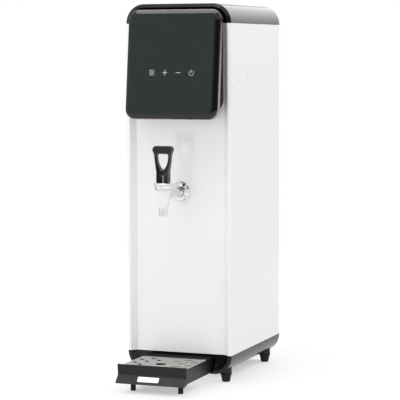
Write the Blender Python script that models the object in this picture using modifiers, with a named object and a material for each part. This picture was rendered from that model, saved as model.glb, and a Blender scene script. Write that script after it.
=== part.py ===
"""Counter-top water boiler: white sheet-steel column on a black plinth, leaning touch
display, lever tap, pull-out drip tray, and the tank, heater, valve and board inside.

Metres, +X to the viewer's right, +Y to the back, +Z up. The origin is on the table,
under the middle of the whole object.
"""

import math

import bmesh
import bpy
from mathutils import Matrix, Vector

# ---------------------------------------------------------------- driving dimensions
GAP = 0.0003  # clearance kept between neighbouring pieces

HALF_W = 0.1000  # half width of the column
FRONT = -0.0780  # plane of the column's two front corners
CREST, CREST_IN = -0.0805, 0.0058  # ridge of the raised frame: its plane, and how far in it lies
PANEL = -0.0703  # recessed front panel between them
REAR = 0.1927  # outer face of the rear panel, cap and plinth
DISH = 0.0156  # width of the raised frame round the recessed front
BODY_LOW, BODY_TOP = 0.0515, 0.6430
PLINTH_LOW, CAP_TOP = 0.0170, 0.6780
SHOULDER_R = 0.0340  # round shoulders of the cap and the plinth
SHEET = 0.0012
MOULD = 0.0028  # wall of the moulded cap and plinth

DISP_LEAN = math.radians(6.6)
DISP_C = (0.0, -0.1088, 0.5712)  # middle of the display's front
DISP_HW, DISP_HH, DISP_R = 0.0874, 0.0969, 0.0175

TRAY_HW = 0.0644
TRAY_FRONT, TRAY_REAR = -0.2104, 0.0100
TRAY_LOW, TRAY_TOP = 0.0198, 0.0498
BASIN_HW, RUNNER_Y = 0.0618, -0.0600
LIP_Y, LIP_Z = -0.2203, 0.0187
CREASE_Y, CREASE_Z = -0.2086, 0.0315
GRATE_Y0, GRATE_Y1 = -0.2070, -0.1030
GRATE_HW, GRATE_Z, GRATE_T = 0.0614, 0.0465, 0.0015

TAP_Y = -0.1515  # the tap's upright axis
TAP_Z = 0.3435  # height of its level arm
PIN_Z = 0.3715  # pin that joins lever and stem
BONNET_TOP = 0.3640

FOOT_X, FOOT_Y = 0.0795, (-0.0510, 0.1650)
TRAY_FOOT_X, TRAY_FOOT_Y = 0.0448, -0.1865

TANK_Y, TANK_R = 0.0650, 0.0780
TANK_LOW, TANK_TOP = 0.2620, 0.6000
SWITCH = (-0.0550, 0.1300)  # x, z of the pieces on the rear panel
GLAND = (-0.0550, 0.0850)
INLET = (0.0500, 0.0950)
DRAIN = (0.0000, 0.0850)
VENT = (0.0500, 0.1500)
SCREWS = [(sx * 0.0915, z) for z in (0.0700, 0.3470, 0.6240) for sx in (-1, 1)]

# ---------------------------------------------------------------- scene and helpers
for old in list(bpy.data.objects):
    bpy.data.objects.remove(old, do_unlink=True)

PARTS = bpy.data.collections.new("water_boiler")
CUTTERS = bpy.data.collections.new("cutters")
bpy.context.scene.collection.children.link(PARTS)
bpy.context.scene.collection.children.link(CUTTERS)

UP = Matrix.Identity(3)
ALONG_Y = Matrix(((1, 0, 0), (0, 0, 1), (0, -1, 0)))  # local z runs along +Y
FACING = Matrix(((1, 0, 0), (0, 0, -1), (0, 1, 0)))  # outline in x and z, depth along Y
SIDEWAYS = Matrix(((0, 0, 1), (1, 0, 0), (0, 1, 0)))  # outline in y and z, depth along X


def material(name, colour, rough, metal=0.0):
    made = bpy.data.materials.new(name)
    made.use_nodes = True
    shader = made.node_tree.nodes["Principled BSDF"]
    shader.inputs["Base Color"].default_value = (*colour, 1.0)
    shader.inputs["Roughness"].default_value = rough
    shader.inputs["Metallic"].default_value = metal
    return made


WHITE = ("white_enamel", (0.86, 0.86, 0.84), 0.35, 0.0)
BLACK_GLOSS = ("black_gloss", (0.020, 0.021, 0.023), 0.16, 0.0)
BLACK_SATIN = ("black_satin", (0.030, 0.032, 0.034), 0.42, 0.0)
RUBBER = ("rubber", (0.015, 0.015, 0.016), 0.75, 0.0)
GLASS = ("black_glass", (0.030, 0.034, 0.036), 0.08, 0.0)
ROSE = ("rose_metal", (0.55, 0.37, 0.34), 0.28, 1.0)
STEEL = ("stainless", (0.56, 0.57, 0.57), 0.34, 1.0)
CHROME = ("chrome", (0.78, 0.79, 0.80), 0.07, 1.0)
BRASS = ("brass", (0.72, 0.52, 0.24), 0.28, 1.0)
ZINC = ("zinc_plate", (0.52, 0.53, 0.54), 0.45, 1.0)
FOAM = ("foam", (0.10, 0.10, 0.11), 0.95, 0.0)
SILICONE = ("silicone", (0.80, 0.80, 0.76), 0.50, 0.0)
BOARD = ("circuit_board", (0.03, 0.17, 0.08), 0.45, 0.0)
ALUMINIUM = ("aluminium", (0.66, 0.67, 0.68), 0.38, 1.0)
NYLON = ("nylon", (0.70, 0.70, 0.68), 0.55, 0.0)
LABEL = ("blank_plate", (0.85, 0.85, 0.85), 0.40, 0.0)


def finish(obj, look):
    """Puts a piece in the object's collection with a material of its own; without a look it is a cutter."""
    home = PARTS if look else CUTTERS
    home.objects.link(obj)
    if look:
        obj.data.materials.append(material(f"{obj.name}_{look[0]}", *look[1:]))
    else:
        obj.hide_render = True
        obj.display_type = "WIRE"
    return obj


def smooth(obj, degrees=35):
    if obj.type == "MESH":
        obj.data.shade_smooth()
        obj.data.set_sharp_from_angle(angle=math.radians(degrees))
    return obj


def placed(obj, turn, at):
    obj.matrix_world = Matrix.Translation(at) @ turn.to_4x4()
    return obj


def from_bmesh(name, bm, look):
    mesh = bpy.data.meshes.new(name)
    bm.to_mesh(mesh)
    bm.free()
    return finish(bpy.data.objects.new(name, mesh), look)


def box(name, low, high, look=None, round_by=0.0):
    bm = bmesh.new()
    bmesh.ops.create_cube(bm, size=1.0)
    size = [b - a for a, b in zip(low, high)]
    bmesh.ops.scale(bm, vec=size, verts=bm.verts)
    obj = from_bmesh(name, bm, look)
    obj.location = [(a + b) / 2 for a, b in zip(low, high)]
    if round_by:
        edge = obj.modifiers.new("rounded", "BEVEL")
        edge.width, edge.segments, edge.limit_method = round_by, 2, "ANGLE"
    return obj


def rod(name, radius, start, end, look=None, sides=24, end_radius=None):
    """A straight cylinder or cone from one point to another."""
    start, end = Vector(start), Vector(end)
    bm = bmesh.new()
    bmesh.ops.create_cone(
        bm,
        cap_ends=True,
        segments=sides,
        radius1=radius,
        radius2=radius if end_radius is None else end_radius,
        depth=(end - start).length,
    )
    obj = from_bmesh(name, bm, look)
    turn = Vector((0, 0, 1)).rotation_difference(end - start).to_matrix()
    return smooth(placed(obj, turn, (start + end) / 2))


def turned(name, profile, look=None, at=(0, 0, 0), turn=UP, sides=24):
    """A turned shape. The profile's (radius, height) points run down the outer side."""
    mesh = bpy.data.meshes.new(name)
    closed = profile[0][0] > 0 or profile[-1][0] > 0
    edges = [(i, i + 1) for i in range(len(profile) - 1)]
    if closed:
        edges.append((len(profile) - 1, 0))
    mesh.from_pydata([(r, 0, z) for r, z in profile], edges, [])
    obj = finish(bpy.data.objects.new(name, mesh), look)
    screw = obj.modifiers.new("turned", "SCREW")
    screw.axis, screw.angle, screw.screw_offset = "Z", 2 * math.pi, 0.0
    screw.steps = screw.render_steps = sides
    screw.use_merge_vertices, screw.merge_threshold = True, 0.00001
    screw.use_smooth_shade = True
    return placed(obj, turn, at)


def flat(name, outlines, depth, look=None, at=(0, 0, 0), turn=UP):
    """A 2D curve, filled on both sides and extruded; outlines after the first are holes."""
    curve = bpy.data.curves.new(name, "CURVE")
    curve.dimensions, curve.fill_mode, curve.extrude = "2D", "BOTH", depth / 2
    for points in outlines:
        spline = curve.splines.new("POLY")
        spline.points.add(len(points) - 1)
        for spot, (a, b) in zip(spline.points, points):
            spot.co = (a, b, 0, 1)
        spline.use_cyclic_u = True
    return placed(finish(bpy.data.objects.new(name, curve), look), turn, at)


def pipe(name, points, radius, look=None, resolution=2):
    curve = bpy.data.curves.new(name, "CURVE")
    curve.dimensions, curve.bevel_depth = "3D", radius
    curve.bevel_resolution, curve.use_fill_caps = resolution, True
    spline = curve.splines.new("POLY")
    spline.points.add(len(points) - 1)
    for spot, point in zip(spline.points, points):
        spot.co = (*point, 1)
    return finish(bpy.data.objects.new(name, curve), look)


def as_mesh(curve_object):
    """The same shape as a mesh with its caps welded, ready for a Boolean."""
    name, home = curve_object.name, curve_object.users_collection[0]
    bpy.context.view_layer.update()
    graph = bpy.context.evaluated_depsgraph_get()
    mesh = bpy.data.meshes.new_from_object(curve_object.evaluated_get(graph))
    bm = bmesh.new()
    bm.from_mesh(mesh)
    bmesh.ops.remove_doubles(bm, verts=bm.verts, dist=0.000001)
    bm.to_mesh(mesh)
    bm.free()
    where = curve_object.matrix_world.copy()
    hidden = curve_object.hide_render
    bpy.data.objects.remove(curve_object, do_unlink=True)
    obj = bpy.data.objects.new(name, mesh)
    home.objects.link(obj)
    obj.matrix_world = where
    if hidden:
        obj.hide_render, obj.display_type = True, "WIRE"
    return smooth(obj)


def loft(name, rings, look=None):
    """Skin between closed rings of equally many points, capped at both ends."""
    bm = bmesh.new()
    rows = [[bm.verts.new(p) for p in ring] for ring in rings]
    count = len(rings[0])
    for low, high in zip(rows, rows[1:]):
        for i in range(count):
            j = (i + 1) % count
            bm.faces.new((low[i], low[j], high[j], high[i]))
    bm.faces.new(rows[0][::-1])
    bm.faces.new(rows[-1])
    bmesh.ops.recalc_face_normals(bm, faces=bm.faces)
    return smooth(from_bmesh(name, bm, look), 30)


def combine(obj, other, operation):
    step = obj.modifiers.new(f"{operation.lower()}_{other.name}"[:60], "BOOLEAN")
    step.operation, step.solver, step.object = operation, "EXACT", other
    return obj


def cut(obj, *others):
    for other in others:
        combine(obj, other, "DIFFERENCE")
    return obj


def join(obj, *others):
    for other in others:
        combine(obj, other, "UNION")
    return obj


def arc(cx, cy, radius, start, end, steps):
    """Points of an arc, angles in degrees."""
    return [
        (
            cx + radius * math.cos(math.radians(start + (end - start) * i / steps)),
            cy + radius * math.sin(math.radians(start + (end - start) * i / steps)),
        )
        for i in range(steps + 1)
    ]


def circle(cx, cy, radius, sides=20):
    return arc(cx, cy, radius, 0, 360, sides)[:-1]


def rounded(x0, y0, x1, y1, radius, steps=6):
    """A rectangle with round corners, counter-clockwise from the lower right corner."""
    return (
        arc(x1 - radius, y0 + radius, radius, -90, 0, steps)
        + arc(x1 - radius, y1 - radius, radius, 0, 90, steps)
        + arc(x0 + radius, y1 - radius, radius, 90, 180, steps)
        + arc(x0 + radius, y0 + radius, radius, 180, 270, steps)
    )


def slot(cx, cy, length, width, angle, steps=4):
    """A slot with round ends, its long way at an angle in degrees."""
    run, r = (length - width) / 2, width / 2
    shape = arc(run, 0, r, -90, 90, steps) + arc(-run, 0, r, 90, 270, steps)
    c, s = math.cos(math.radians(angle)), math.sin(math.radians(angle))
    return [(cx + c * x - s * y, cy + s * x + c * y) for x, y in shape]


def bent(points, radii, steps=3):
    """An open path with its corners rounded."""
    path = [points[0]]
    for before, here, after, r in zip(points, points[1:], points[2:], radii):
        b, h, a = Vector(before), Vector(here), Vector(after)
        into, out = (h - b).normalized(), (a - h).normalized()
        turn = into.angle(out)
        reach = r * math.tan(turn / 2)
        side = 1 if into.x * out.y - into.y * out.x > 0 else -1
        centre = h - into * reach + Vector((-into.y, into.x)) * side * r
        begin = h - into * reach - centre
        first = math.atan2(begin.y, begin.x)
        for i in range(steps + 1):
            angle = first + side * turn * i / steps
            path.append((centre.x + r * math.cos(angle), centre.y + r * math.sin(angle)))
    return path + [points[-1]]


def strip(path, thickness):
    """The closed outline of sheet that lies to the left of an open path."""
    inner = []
    for i, here in enumerate(path):
        ways = []
        if i > 0:
            ways.append((Vector(here) - Vector(path[i - 1])).normalized())
        if i < len(path) - 1:
            ways.append((Vector(path[i + 1]) - Vector(here)).normalized())
        sides = [Vector((-w.y, w.x)) for w in ways]
        mean = sum(sides, Vector((0, 0))).normalized()
        inner.append(tuple(Vector(here) + mean * thickness / mean.dot(sides[0])))
    return list(path) + inner[::-1]


def arch(inset, open_edge, centre_z, up=1, steps=8):
    """The cap's outline seen from the front, or with up = -1 the plinth's, moved inwards by an inset."""
    r, x = SHOULDER_R - inset, HALF_W - SHOULDER_R
    right = [(x + r * math.cos(a), centre_z + up * r * math.sin(a)) for a in
             (math.pi / 2 * i / steps for i in range(steps + 1))]
    left = [(-a, b) for a, b in right[::-1]]
    shape = [(HALF_W - inset, open_edge)] + right + left + [(-HALF_W + inset, open_edge)]
    return shape if up > 0 else shape[::-1]


def smooth_route(points, per_leg=5):
    """Points along a smooth curve through the given ones."""
    ends = [points[0]] + list(points) + [points[-1]]
    route = []
    for p0, p1, p2, p3 in zip(ends, ends[1:], ends[2:], ends[3:]):
        for i in range(per_leg):
            t = i / per_leg
            route.append(tuple(
                0.5 * (2 * b + (c - a) * t + (2 * a - 5 * b + 4 * c - d) * t * t
                       + (3 * b - a - 3 * c + d) * t ** 3)
                for a, b, c, d in zip(p0, p1, p2, p3)))
    return route + [tuple(points[-1])]


def pivot(name, at, children):
    """An empty on a joint's axis that carries the pieces that move there."""
    empty = bpy.data.objects.new(name, None)
    empty.empty_display_size = 0.02
    empty.location = at
    PARTS.objects.link(empty)
    bpy.context.view_layer.update()
    for child in children:
        child.parent = empty
        child.matrix_parent_inverse = empty.matrix_world.inverted()
    return empty


# ---------------------------------------------------------------- column
# Sheet folded round both sides and the recessed front, with a flange at the rear.
FLANGE_Y = REAR - SHEET - GAP
wrap_path = bent(
    [
        (-HALF_W + 0.0150, FLANGE_Y),
        (-HALF_W, FLANGE_Y),
        (-HALF_W, FRONT),
        (-HALF_W + CREST_IN, CREST),
        (-HALF_W + DISH, PANEL),
        (HALF_W - DISH, PANEL),
        (HALF_W - CREST_IN, CREST),
        (HALF_W, FRONT),
        (HALF_W, FLANGE_Y),
        (HALF_W - 0.0150, FLANGE_Y),
    ],
    [0.0020, 0.0022, 0.0014, 0.0030, 0.0030, 0.0014, 0.0022, 0.0020],
)
body_wrap = as_mesh(flat(
    "body_wrap", [strip(wrap_path, SHEET)], BODY_TOP - BODY_LOW, WHITE,
    (0, 0, (BODY_LOW + BODY_TOP) / 2)))
cut(
    body_wrap,
    rod("cut_tap_hole", 0.0082, (0, PANEL - 0.01, TAP_Z), (0, PANEL + 0.01, TAP_Z), sides=20),
    rod("cut_display_hole", 0.0070, (0.03, PANEL - 0.01, 0.5750), (0.03, PANEL + 0.01, 0.5750), sides=16),
    *[rod(f"cut_flange_{i}", 0.0023, (x, FLANGE_Y - 0.01, z), (x, FLANGE_Y + 0.01, z), sides=10)
      for i, (x, z) in enumerate(SCREWS)],
)

# Rear panel: vents, and a hole for each fitting.
vents = [slot(sx * 0.034, z, 0.052, 0.0042, 0, 2) for z in
         (0.4600, 0.4740, 0.4880, 0.5020, 0.5160, 0.5300) for sx in (-1, 1)]
rear_panel = flat(
    "rear_panel",
    [rounded(-0.0985, BODY_LOW + 0.0020, 0.0985, BODY_TOP - 0.0020, 0.003, 2)]
    + vents
    + [circle(x, z, 0.0024, 10) for x, z in SCREWS]
    + [
        circle(*INLET, 0.0136, 20),
        circle(*DRAIN, 0.0083, 16),
        circle(*VENT, 0.0055, 14),
        circle(*GLAND, 0.0079, 16),
        rounded(SWITCH[0] - 0.0065, SWITCH[1] - 0.0098, SWITCH[0] + 0.0065, SWITCH[1] + 0.0098, 0.0003, 1),
    ],
    SHEET, WHITE, (0, REAR - SHEET / 2, 0), FACING)

for i, (x, z) in enumerate(SCREWS):
    turned(
        f"rear_screw_{i + 1}",
        [(0, REAR + 0.0027), (0.0026, REAR + 0.0025), (0.0038, REAR + 0.0014), (0.0040, REAR + 0.0003),
         (0.0019, REAR + 0.0003), (0.0019, REAR - 0.0080), (0, REAR - 0.0092)],
        ZINC, (x, 0, z), ALONG_Y, 10)

# ---------------------------------------------------------------- cap and plinth
CAP_LOW, PLINTH_TOP = BODY_TOP + GAP, BODY_LOW - GAP
CAP_C, PLINTH_C = CAP_TOP - SHOULDER_R, PLINTH_LOW + SHOULDER_R


def dish_cutter(name, edge, centre_z, up):
    """The slope from the frame's ridge down to the recessed front."""
    start = CREST_IN + 0.0004
    slope = (DISH - start) / (PANEL - CREST)
    return loft(name, [[(x, y, z) for x, z in arch(inset, edge, centre_z, up)] for inset, y in
                       ((start - slope * 0.0020, CREST - 0.0020), (DISH, PANEL))])


def raised_block(name, edge, centre_z, up):
    """The cap's or plinth's outer block, its front rising to the frame's ridge."""
    return loft(name, [[(x, y, z) for x, z in arch(inset, edge, centre_z, up)] for inset, y in
                       ((CREST_IN, CREST), (0, FRONT), (0, REAR))], BLACK_GLOSS)


top_cap = raised_block("top_cap", CAP_LOW, CAP_C, 1)
cut(
    top_cap,
    as_mesh(flat("cut_cap_inside", [arch(MOULD, CAP_LOW - 0.01, CAP_C)],
                 REAR - MOULD - (PANEL + MOULD), None, (0, (REAR + PANEL) / 2, 0), FACING)),
    dish_cutter("cut_cap_dish", CAP_LOW - 0.01, CAP_C, 1),
)

base_plinth = raised_block("base_plinth", PLINTH_TOP, PLINTH_C, -1)
RIB = 0.0685  # outer face of the tray tunnel's side walls


def pocket(name, x0, x1, y0, y1):
    """A hollow inside the plinth, as deep as its rounded shell allows."""
    r, c = SHOULDER_R - MOULD, HALF_W - SHOULDER_R
    curved = [c + r * math.sin(math.pi / 2 * i / 8) for i in range(9)]
    across = {x0, x1} | {s * x for x in curved for s in (-1, 1) if x0 < s * x < x1}
    floor = [(x, PLINTH_C - math.sqrt(max(0.0, r * r - max(0.0, abs(x) - c) ** 2))) for x in sorted(across)]
    return as_mesh(flat(name, [floor + [(x1, 0.0600), (x0, 0.0600)]], y1 - y0, None,
                        (0, (y0 + y1) / 2, 0), FACING))


EDGE = HALF_W - MOULD
cut(
    base_plinth,
    dish_cutter("cut_plinth_dish", PLINTH_TOP + 0.01, PLINTH_C, -1),
    pocket("cut_plinth_right", RIB, EDGE, PANEL + MOULD, 0.0130),
    pocket("cut_plinth_left", -EDGE, -RIB, PANEL + MOULD, 0.0130),
    pocket("cut_plinth_rear", -EDGE, EDGE, 0.0156, REAR - MOULD),
    box("cut_tunnel", (-0.0655, -0.10, 0.0195), (0.0655, 0.0128, 0.0600)),
    box("cut_tunnel_floor", (-0.0590, -0.10, 0.0000), (0.0590, 0.0128, 0.0200)),
)
join(base_plinth, box("mouth_beam", (-0.0670, -0.0699, 0.0470), (0.0670, -0.0605, 0.0510)))
for side, sx in (("left", -1), ("right", 1)):
    for end, y in (("front", FOOT_Y[0]), ("rear", FOOT_Y[1])):
        x = sx * FOOT_X
        join(base_plinth, rod(f"boss_{end}_{side}", 0.0106, (x, y, 0.0165), (x, y, 0.0320), sides=16))
        cut(base_plinth, rod(f"cut_boss_{end}_{side}", 0.0028, (x, y, 0.0100), (x, y, 0.0400), sides=8))
        turned(
            f"foot_{end}_{side}",
            [(0, 0.0290), (0.0025, 0.0290), (0.0025, 0.0162), (0.0104, 0.0162), (0.0104, 0.0124),
             (0.0092, 0.0116), (0.0072, 0.0008), (0.0066, 0.0), (0, 0.0)],
            RUBBER, (x, y, 0), UP, 16)

base_plate = flat(
    "base_plate",
    [rounded(-0.0980, PANEL + SHEET + GAP, 0.0980, 0.1885, 0.0030, 2)],
    0.0015, ZINC, (0, 0, BODY_LOW + 0.00075))

# ---------------------------------------------------------------- display
LEAN_C, LEAN_S = math.cos(DISP_LEAN), math.sin(DISP_LEAN)


def on_display(u, v, n):
    """u across, v up the leaning face, n out of it."""
    return (DISP_C[0] + u, DISP_C[1] + v * LEAN_S - n * LEAN_C, DISP_C[2] + v * LEAN_C + n * LEAN_S)


def display_ring(hw, hh, r, n, steps=7):
    return [on_display(u, v, n) for u, v in rounded(-hw, -hh, hw, hh, r, steps)]


def panel_ring(hw, z0, z1, r, y, steps=7):
    return [(x, y, z) for x, z in rounded(-hw, z0, hw, z1, r, steps)]


display_glass = loft("display_glass", [
    display_ring(DISP_HW - 0.0118, DISP_HH - 0.0106, DISP_R - 0.0060, 0.0),
    display_ring(DISP_HW - 0.0052, DISP_HH - 0.0047, DISP_R - 0.0025, -0.0007),
    display_ring(DISP_HW - 0.0009, DISP_HH - 0.0006, DISP_R, -0.0020),
    display_ring(DISP_HW, DISP_HH, DISP_R, -0.0032),
    display_ring(DISP_HW, DISP_HH, DISP_R, -0.0045),
], GLASS)
BEZEL_N0, BEZEL_N1 = -0.0048, -0.0158
bezel_hw, bezel_hh = DISP_HW + 0.0003, DISP_HH + 0.0003
lean = Matrix(((1, 0, 0), (0, LEAN_S, -LEAN_C), (0, LEAN_C, LEAN_S)))
display_bezel = flat(
    "display_bezel",
    [rounded(-bezel_hw, -bezel_hh, bezel_hw, bezel_hh, DISP_R, 7),
     rounded(-bezel_hw + 0.0060, -bezel_hh + 0.0060, bezel_hw - 0.0060, bezel_hh - 0.0060, DISP_R - 0.0060, 5)],
    BEZEL_N0 - BEZEL_N1, ROSE, on_display(0, 0, (BEZEL_N0 + BEZEL_N1) / 2), lean)
display_housing = loft("display_housing", [
    display_ring(0.0830, DISP_HH - 0.0010, DISP_R, BEZEL_N1 - GAP),
    panel_ring(0.0828, 0.4895, 0.6605, 0.0160, PANEL - GAP),
], BLACK_GLOSS)
cut(
    display_housing,
    loft("cut_housing_inside", [
        display_ring(0.0792, DISP_HH - 0.0050, DISP_R - 0.0040, BEZEL_N1 + 0.0020),
        display_ring(0.0792, DISP_HH - 0.0050, DISP_R - 0.0040, BEZEL_N1 - GAP - 0.0002),
        panel_ring(0.0790, 0.4935, 0.6565, 0.0130, PANEL - 0.0028),
    ]),
    rod("cut_housing_cable", 0.0070, (0.03, PANEL - 0.02, 0.5750), (0.03, PANEL + 0.01, 0.5750), sides=16),
)
touch_board = flat(
    "touch_board",
    [rounded(-0.0700, -0.0780, 0.0700, 0.0780, 0.0030, 2), circle(0.0640, 0.0720, 0.0016, 8),
     circle(-0.0640, 0.0720, 0.0016, 8), circle(0.0640, -0.0720, 0.0016, 8), circle(-0.0640, -0.0720, 0.0016, 8)],
    0.0016, BOARD, on_display(0, 0, -0.0062), lean)

# ---------------------------------------------------------------- drip tray
# A narrow basin under the grate, a deck behind it, runners in the tunnel and a wider front plate.
drip_tray = box("drip_tray", (-BASIN_HW, TRAY_FRONT + 0.0030, TRAY_LOW), (BASIN_HW, TRAY_REAR, 0.0446), BLACK_SATIN)
front_wall = as_mesh(flat(
    "tray_front_wall",
    [[(TRAY_FRONT, TRAY_TOP), (CREASE_Y, CREASE_Z), (LIP_Y, LIP_Z), (LIP_Y + 0.0012, LIP_Z - 0.0014),
      (-0.2050, TRAY_LOW), (-0.2050, TRAY_TOP)][::-1]],
    2 * TRAY_HW, None, (0, 0, 0), SIDEWAYS))
join(
    drip_tray,
    front_wall,
    box("tray_deck", (-BASIN_HW, -0.1100, 0.0430), (BASIN_HW, TRAY_REAR, GRATE_Z)),
    box("tray_runners", (-TRAY_HW, RUNNER_Y, TRAY_LOW), (TRAY_HW, TRAY_REAR, 0.0420)),
)
cut(
    drip_tray,
    box("cut_tray_basin", (-0.0585, -0.2045, 0.0223), (0.0585, -0.1075, 0.0700)),
    box("cut_tray_recess", (-0.0619, -0.2077, 0.0446), (0.0619, -0.1024, 0.0700)),
    box("cut_tray_under", (-0.0590, -0.1000, 0.0000), (0.0590, TRAY_REAR - 0.0025, 0.0440)),
)

# Grate: rows of slots that lean towards the middle, round a centre hole.
grate_holes = [circle(0, -0.1680, 0.0096, 24)]
for sx in (-1, 1):
    for x, rows in ((0.0170, (-0.1350, -0.1975)), (0.0340, (-0.1190, -0.1505, -0.1820)),
                    (0.0500, (-0.1345, -0.1660, -0.1960))):
        grate_holes += [slot(sx * x, y, 0.0155 if x > 0.04 else 0.0175, 0.0050, sx * 45, 3) for y in rows]
drip_grate = flat(
    "drip_grate",
    [rounded(-GRATE_HW, GRATE_Y0, GRATE_HW, GRATE_Y1, 0.0020, 2)] + grate_holes,
    GRATE_T, STEEL, (0, 0, GRATE_Z - GRATE_T / 2))

tray_feet = [
    turned(f"tray_foot_{side}",
           [(0, TRAY_LOW - GAP), (0.0050, TRAY_LOW - GAP), (0.0047, 0.0006), (0.0041, 0.0), (0, 0.0)],
           RUBBER, (sx * TRAY_FOOT_X, TRAY_FOOT_Y, 0), UP, 16)
    for side, sx in (("left", -1), ("right", 1))
]
# Blank plate on the slanted lip.
slant = Vector((0, LIP_Y - CREASE_Y, LIP_Z - CREASE_Z)).normalized()
face = Vector((0, slant.z, -slant.y))
plate_at = Vector((-0.0049, CREASE_Y, CREASE_Z)) + slant * 0.0079 + face * 0.0006
tray_label_plate = flat(
    "tray_label_plate", [rounded(-0.0199, -0.00525, 0.0199, 0.00525, 0.0020, 3)], 0.0006, LABEL, plate_at,
    Matrix(((1, 0, 0), (0, -slant.y, face.y), (0, -slant.z, face.z))))

# ---------------------------------------------------------------- tap
AT_TAP = (0, TAP_Y, 0)
tap_body = turned(
    "tap_body",
    [(0, 0.3530), (0.0152, 0.3530), (0.0142, 0.3495), (0.0085, 0.3203), (0.0085, 0.3190), (0.0081, 0.3060), (0, 0.3060)],
    CHROME, AT_TAP, UP, 32)
join(
    tap_body,
    turned("tap_arm",
           [(0, -0.0365), (0.0055, -0.0365), (0.0062, -0.0400), (0.0062, -0.0500), (0.0078, -0.0500),
            (0.0078, -0.0770), (0.0087, -0.0775), (0.0087, TAP_Y + 0.0030), (0, TAP_Y + 0.0030)],
           None, (0, 0, TAP_Z), ALONG_Y, 28),
)
cut(
    tap_body,
    turned("cut_tap_chamber",
           [(0, 0.3600), (0.0098, 0.3600), (0.0098, 0.3375), (0.0052, 0.3318), (0.0052, 0.3000), (0, 0.3000)],
           None, AT_TAP, UP, 28),
    rod("cut_tap_arm", 0.0043, (0, TAP_Y, TAP_Z), (0, -0.0300, TAP_Z), sides=20),
)
tap_bonnet = turned(
    "tap_bonnet",
    [(0.0029, BONNET_TOP), (0.0171, BONNET_TOP), (0.0178, BONNET_TOP - 0.0008), (0.0178, 0.3614), (0.0156, 0.3598), (0.0152, 0.3533),
     (0.0070, 0.3533), (0.0070, 0.3570), (0.0029, 0.3570)],
    CHROME, AT_TAP, UP, 24)
tap_stem = turned(
    "tap_stem",
    [(0, 0.3748), (0.0021, 0.3748), (0.0025, 0.3742), (0.0025, 0.3462), (0.0052, 0.3462), (0.0052, 0.3447),
     (0.0022, 0.3447), (0.0022, 0.3385), (0, 0.3385)],
    BRASS, AT_TAP, UP, 14)
cut(tap_stem, rod("cut_stem_eye", 0.0014, (-0.01, TAP_Y, PIN_Z), (0.01, TAP_Y, PIN_Z), sides=12))
tap_seat_cup = turned(
    "tap_seat_cup",
    [(0, 0.3443), (0.0084, 0.3443), (0.0088, 0.3430), (0.0088, 0.3384), (0.0060, 0.3344), (0, 0.3344)],
    SILICONE, AT_TAP, UP, 24)
cut(tap_seat_cup, rod("cut_seat_cup", 0.0025, (0, TAP_Y, 0.3380), (0, TAP_Y, 0.3500), sides=16))
SPRING_LOW, SPRING_TOP, SPRING_TURNS, WIRE_R = 0.3470, 0.3562, 4, 0.0005
tap_spring = pipe(
    "tap_spring",
    [(0.0044 * math.cos(2 * math.pi * t), TAP_Y + 0.0044 * math.sin(2 * math.pi * t),
      SPRING_LOW + (SPRING_TOP - SPRING_LOW) * t / SPRING_TURNS)
     for t in (i / 8 for i in range(8 * SPRING_TURNS + 1))],
    WIRE_R, STEEL)
tap_pivot_pin = rod("tap_pivot_pin", 0.00125, (-0.0099, TAP_Y, PIN_Z), (0.0099, TAP_Y, PIN_Z), STEEL, 12)

# Lever: bar on two arms that meet in a slotted collar round the stem's top.
BAR_Z0, BAR_Z1, BAR_R = 0.4155, 0.4290, 0.00675
lever_outline = (
    arc(0.0182 - BAR_R, (BAR_Z0 + BAR_Z1) / 2, BAR_R, -78, 90, 8)
    + arc(-0.0182 + BAR_R, (BAR_Z0 + BAR_Z1) / 2, BAR_R, 90, 258, 8)
    + [(-0.0152, 0.4110), (-0.0147, 0.4050), (-0.0136, 0.3980), (-0.0123, 0.3912), (-0.0113, 0.3864), (-0.0108, 0.3830),
       (-0.0108, 0.3651), (-0.0100, 0.3643)]
    + [(0.0100, 0.3643), (0.0108, 0.3651), (0.0108, 0.3830), (0.0113, 0.3864), (0.0123, 0.3912), (0.0136, 0.3980),
       (0.0147, 0.4050), (0.0152, 0.4110)]
)
loop_hole = (
    arc(0.0086, 0.4129, 0.0022, 0, 90, 3) + arc(-0.0086, 0.4129, 0.0022, 90, 180, 3)
    + [(-0.0105, 0.4060), (-0.0092, 0.3995), (-0.0068, 0.3926)]
    + arc(0, 0.3893, 0.0030, 205, 335, 4)
    + [(0.0068, 0.3926), (0.0092, 0.3995), (0.0105, 0.4060)]
)
tap_handle = as_mesh(flat("tap_handle", [lever_outline, loop_hole], 0.0156, BLACK_SATIN, AT_TAP, FACING))
waist = [(0.0078, 0.3880), (0.0055, 0.3960), (0.0052, 0.4120), (0.0064, 0.4180), (0.0064, 0.4255), (0.0045, 0.4300),
         (0.0200, 0.4300), (0.0200, 0.3880)]
heel = [(0.0062, 0.3639), (0.0078, 0.3657), (0.0120, 0.3657), (0.0120, 0.3620), (0.0062, 0.3620)]
for name, side_shape in (("waist", waist), ("heel", heel)):
    for way, sign in (("front", -1), ("back", 1)):
        shape = [(TAP_Y + sign * a, z) for a, z in side_shape]
        cut(tap_handle, as_mesh(flat(f"cut_lever_{name}_{way}", [shape], 0.06, None, (0, 0, 0), SIDEWAYS)))
cut(
    tap_handle,
    box("cut_lever_slot", (-0.0030, TAP_Y - 0.02, 0.3500), (0.0030, TAP_Y + 0.02, 0.3778)),
    rod("cut_lever_pin", 0.00155, (-0.02, TAP_Y, PIN_Z), (0.02, TAP_Y, PIN_Z), sides=12),
)

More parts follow.
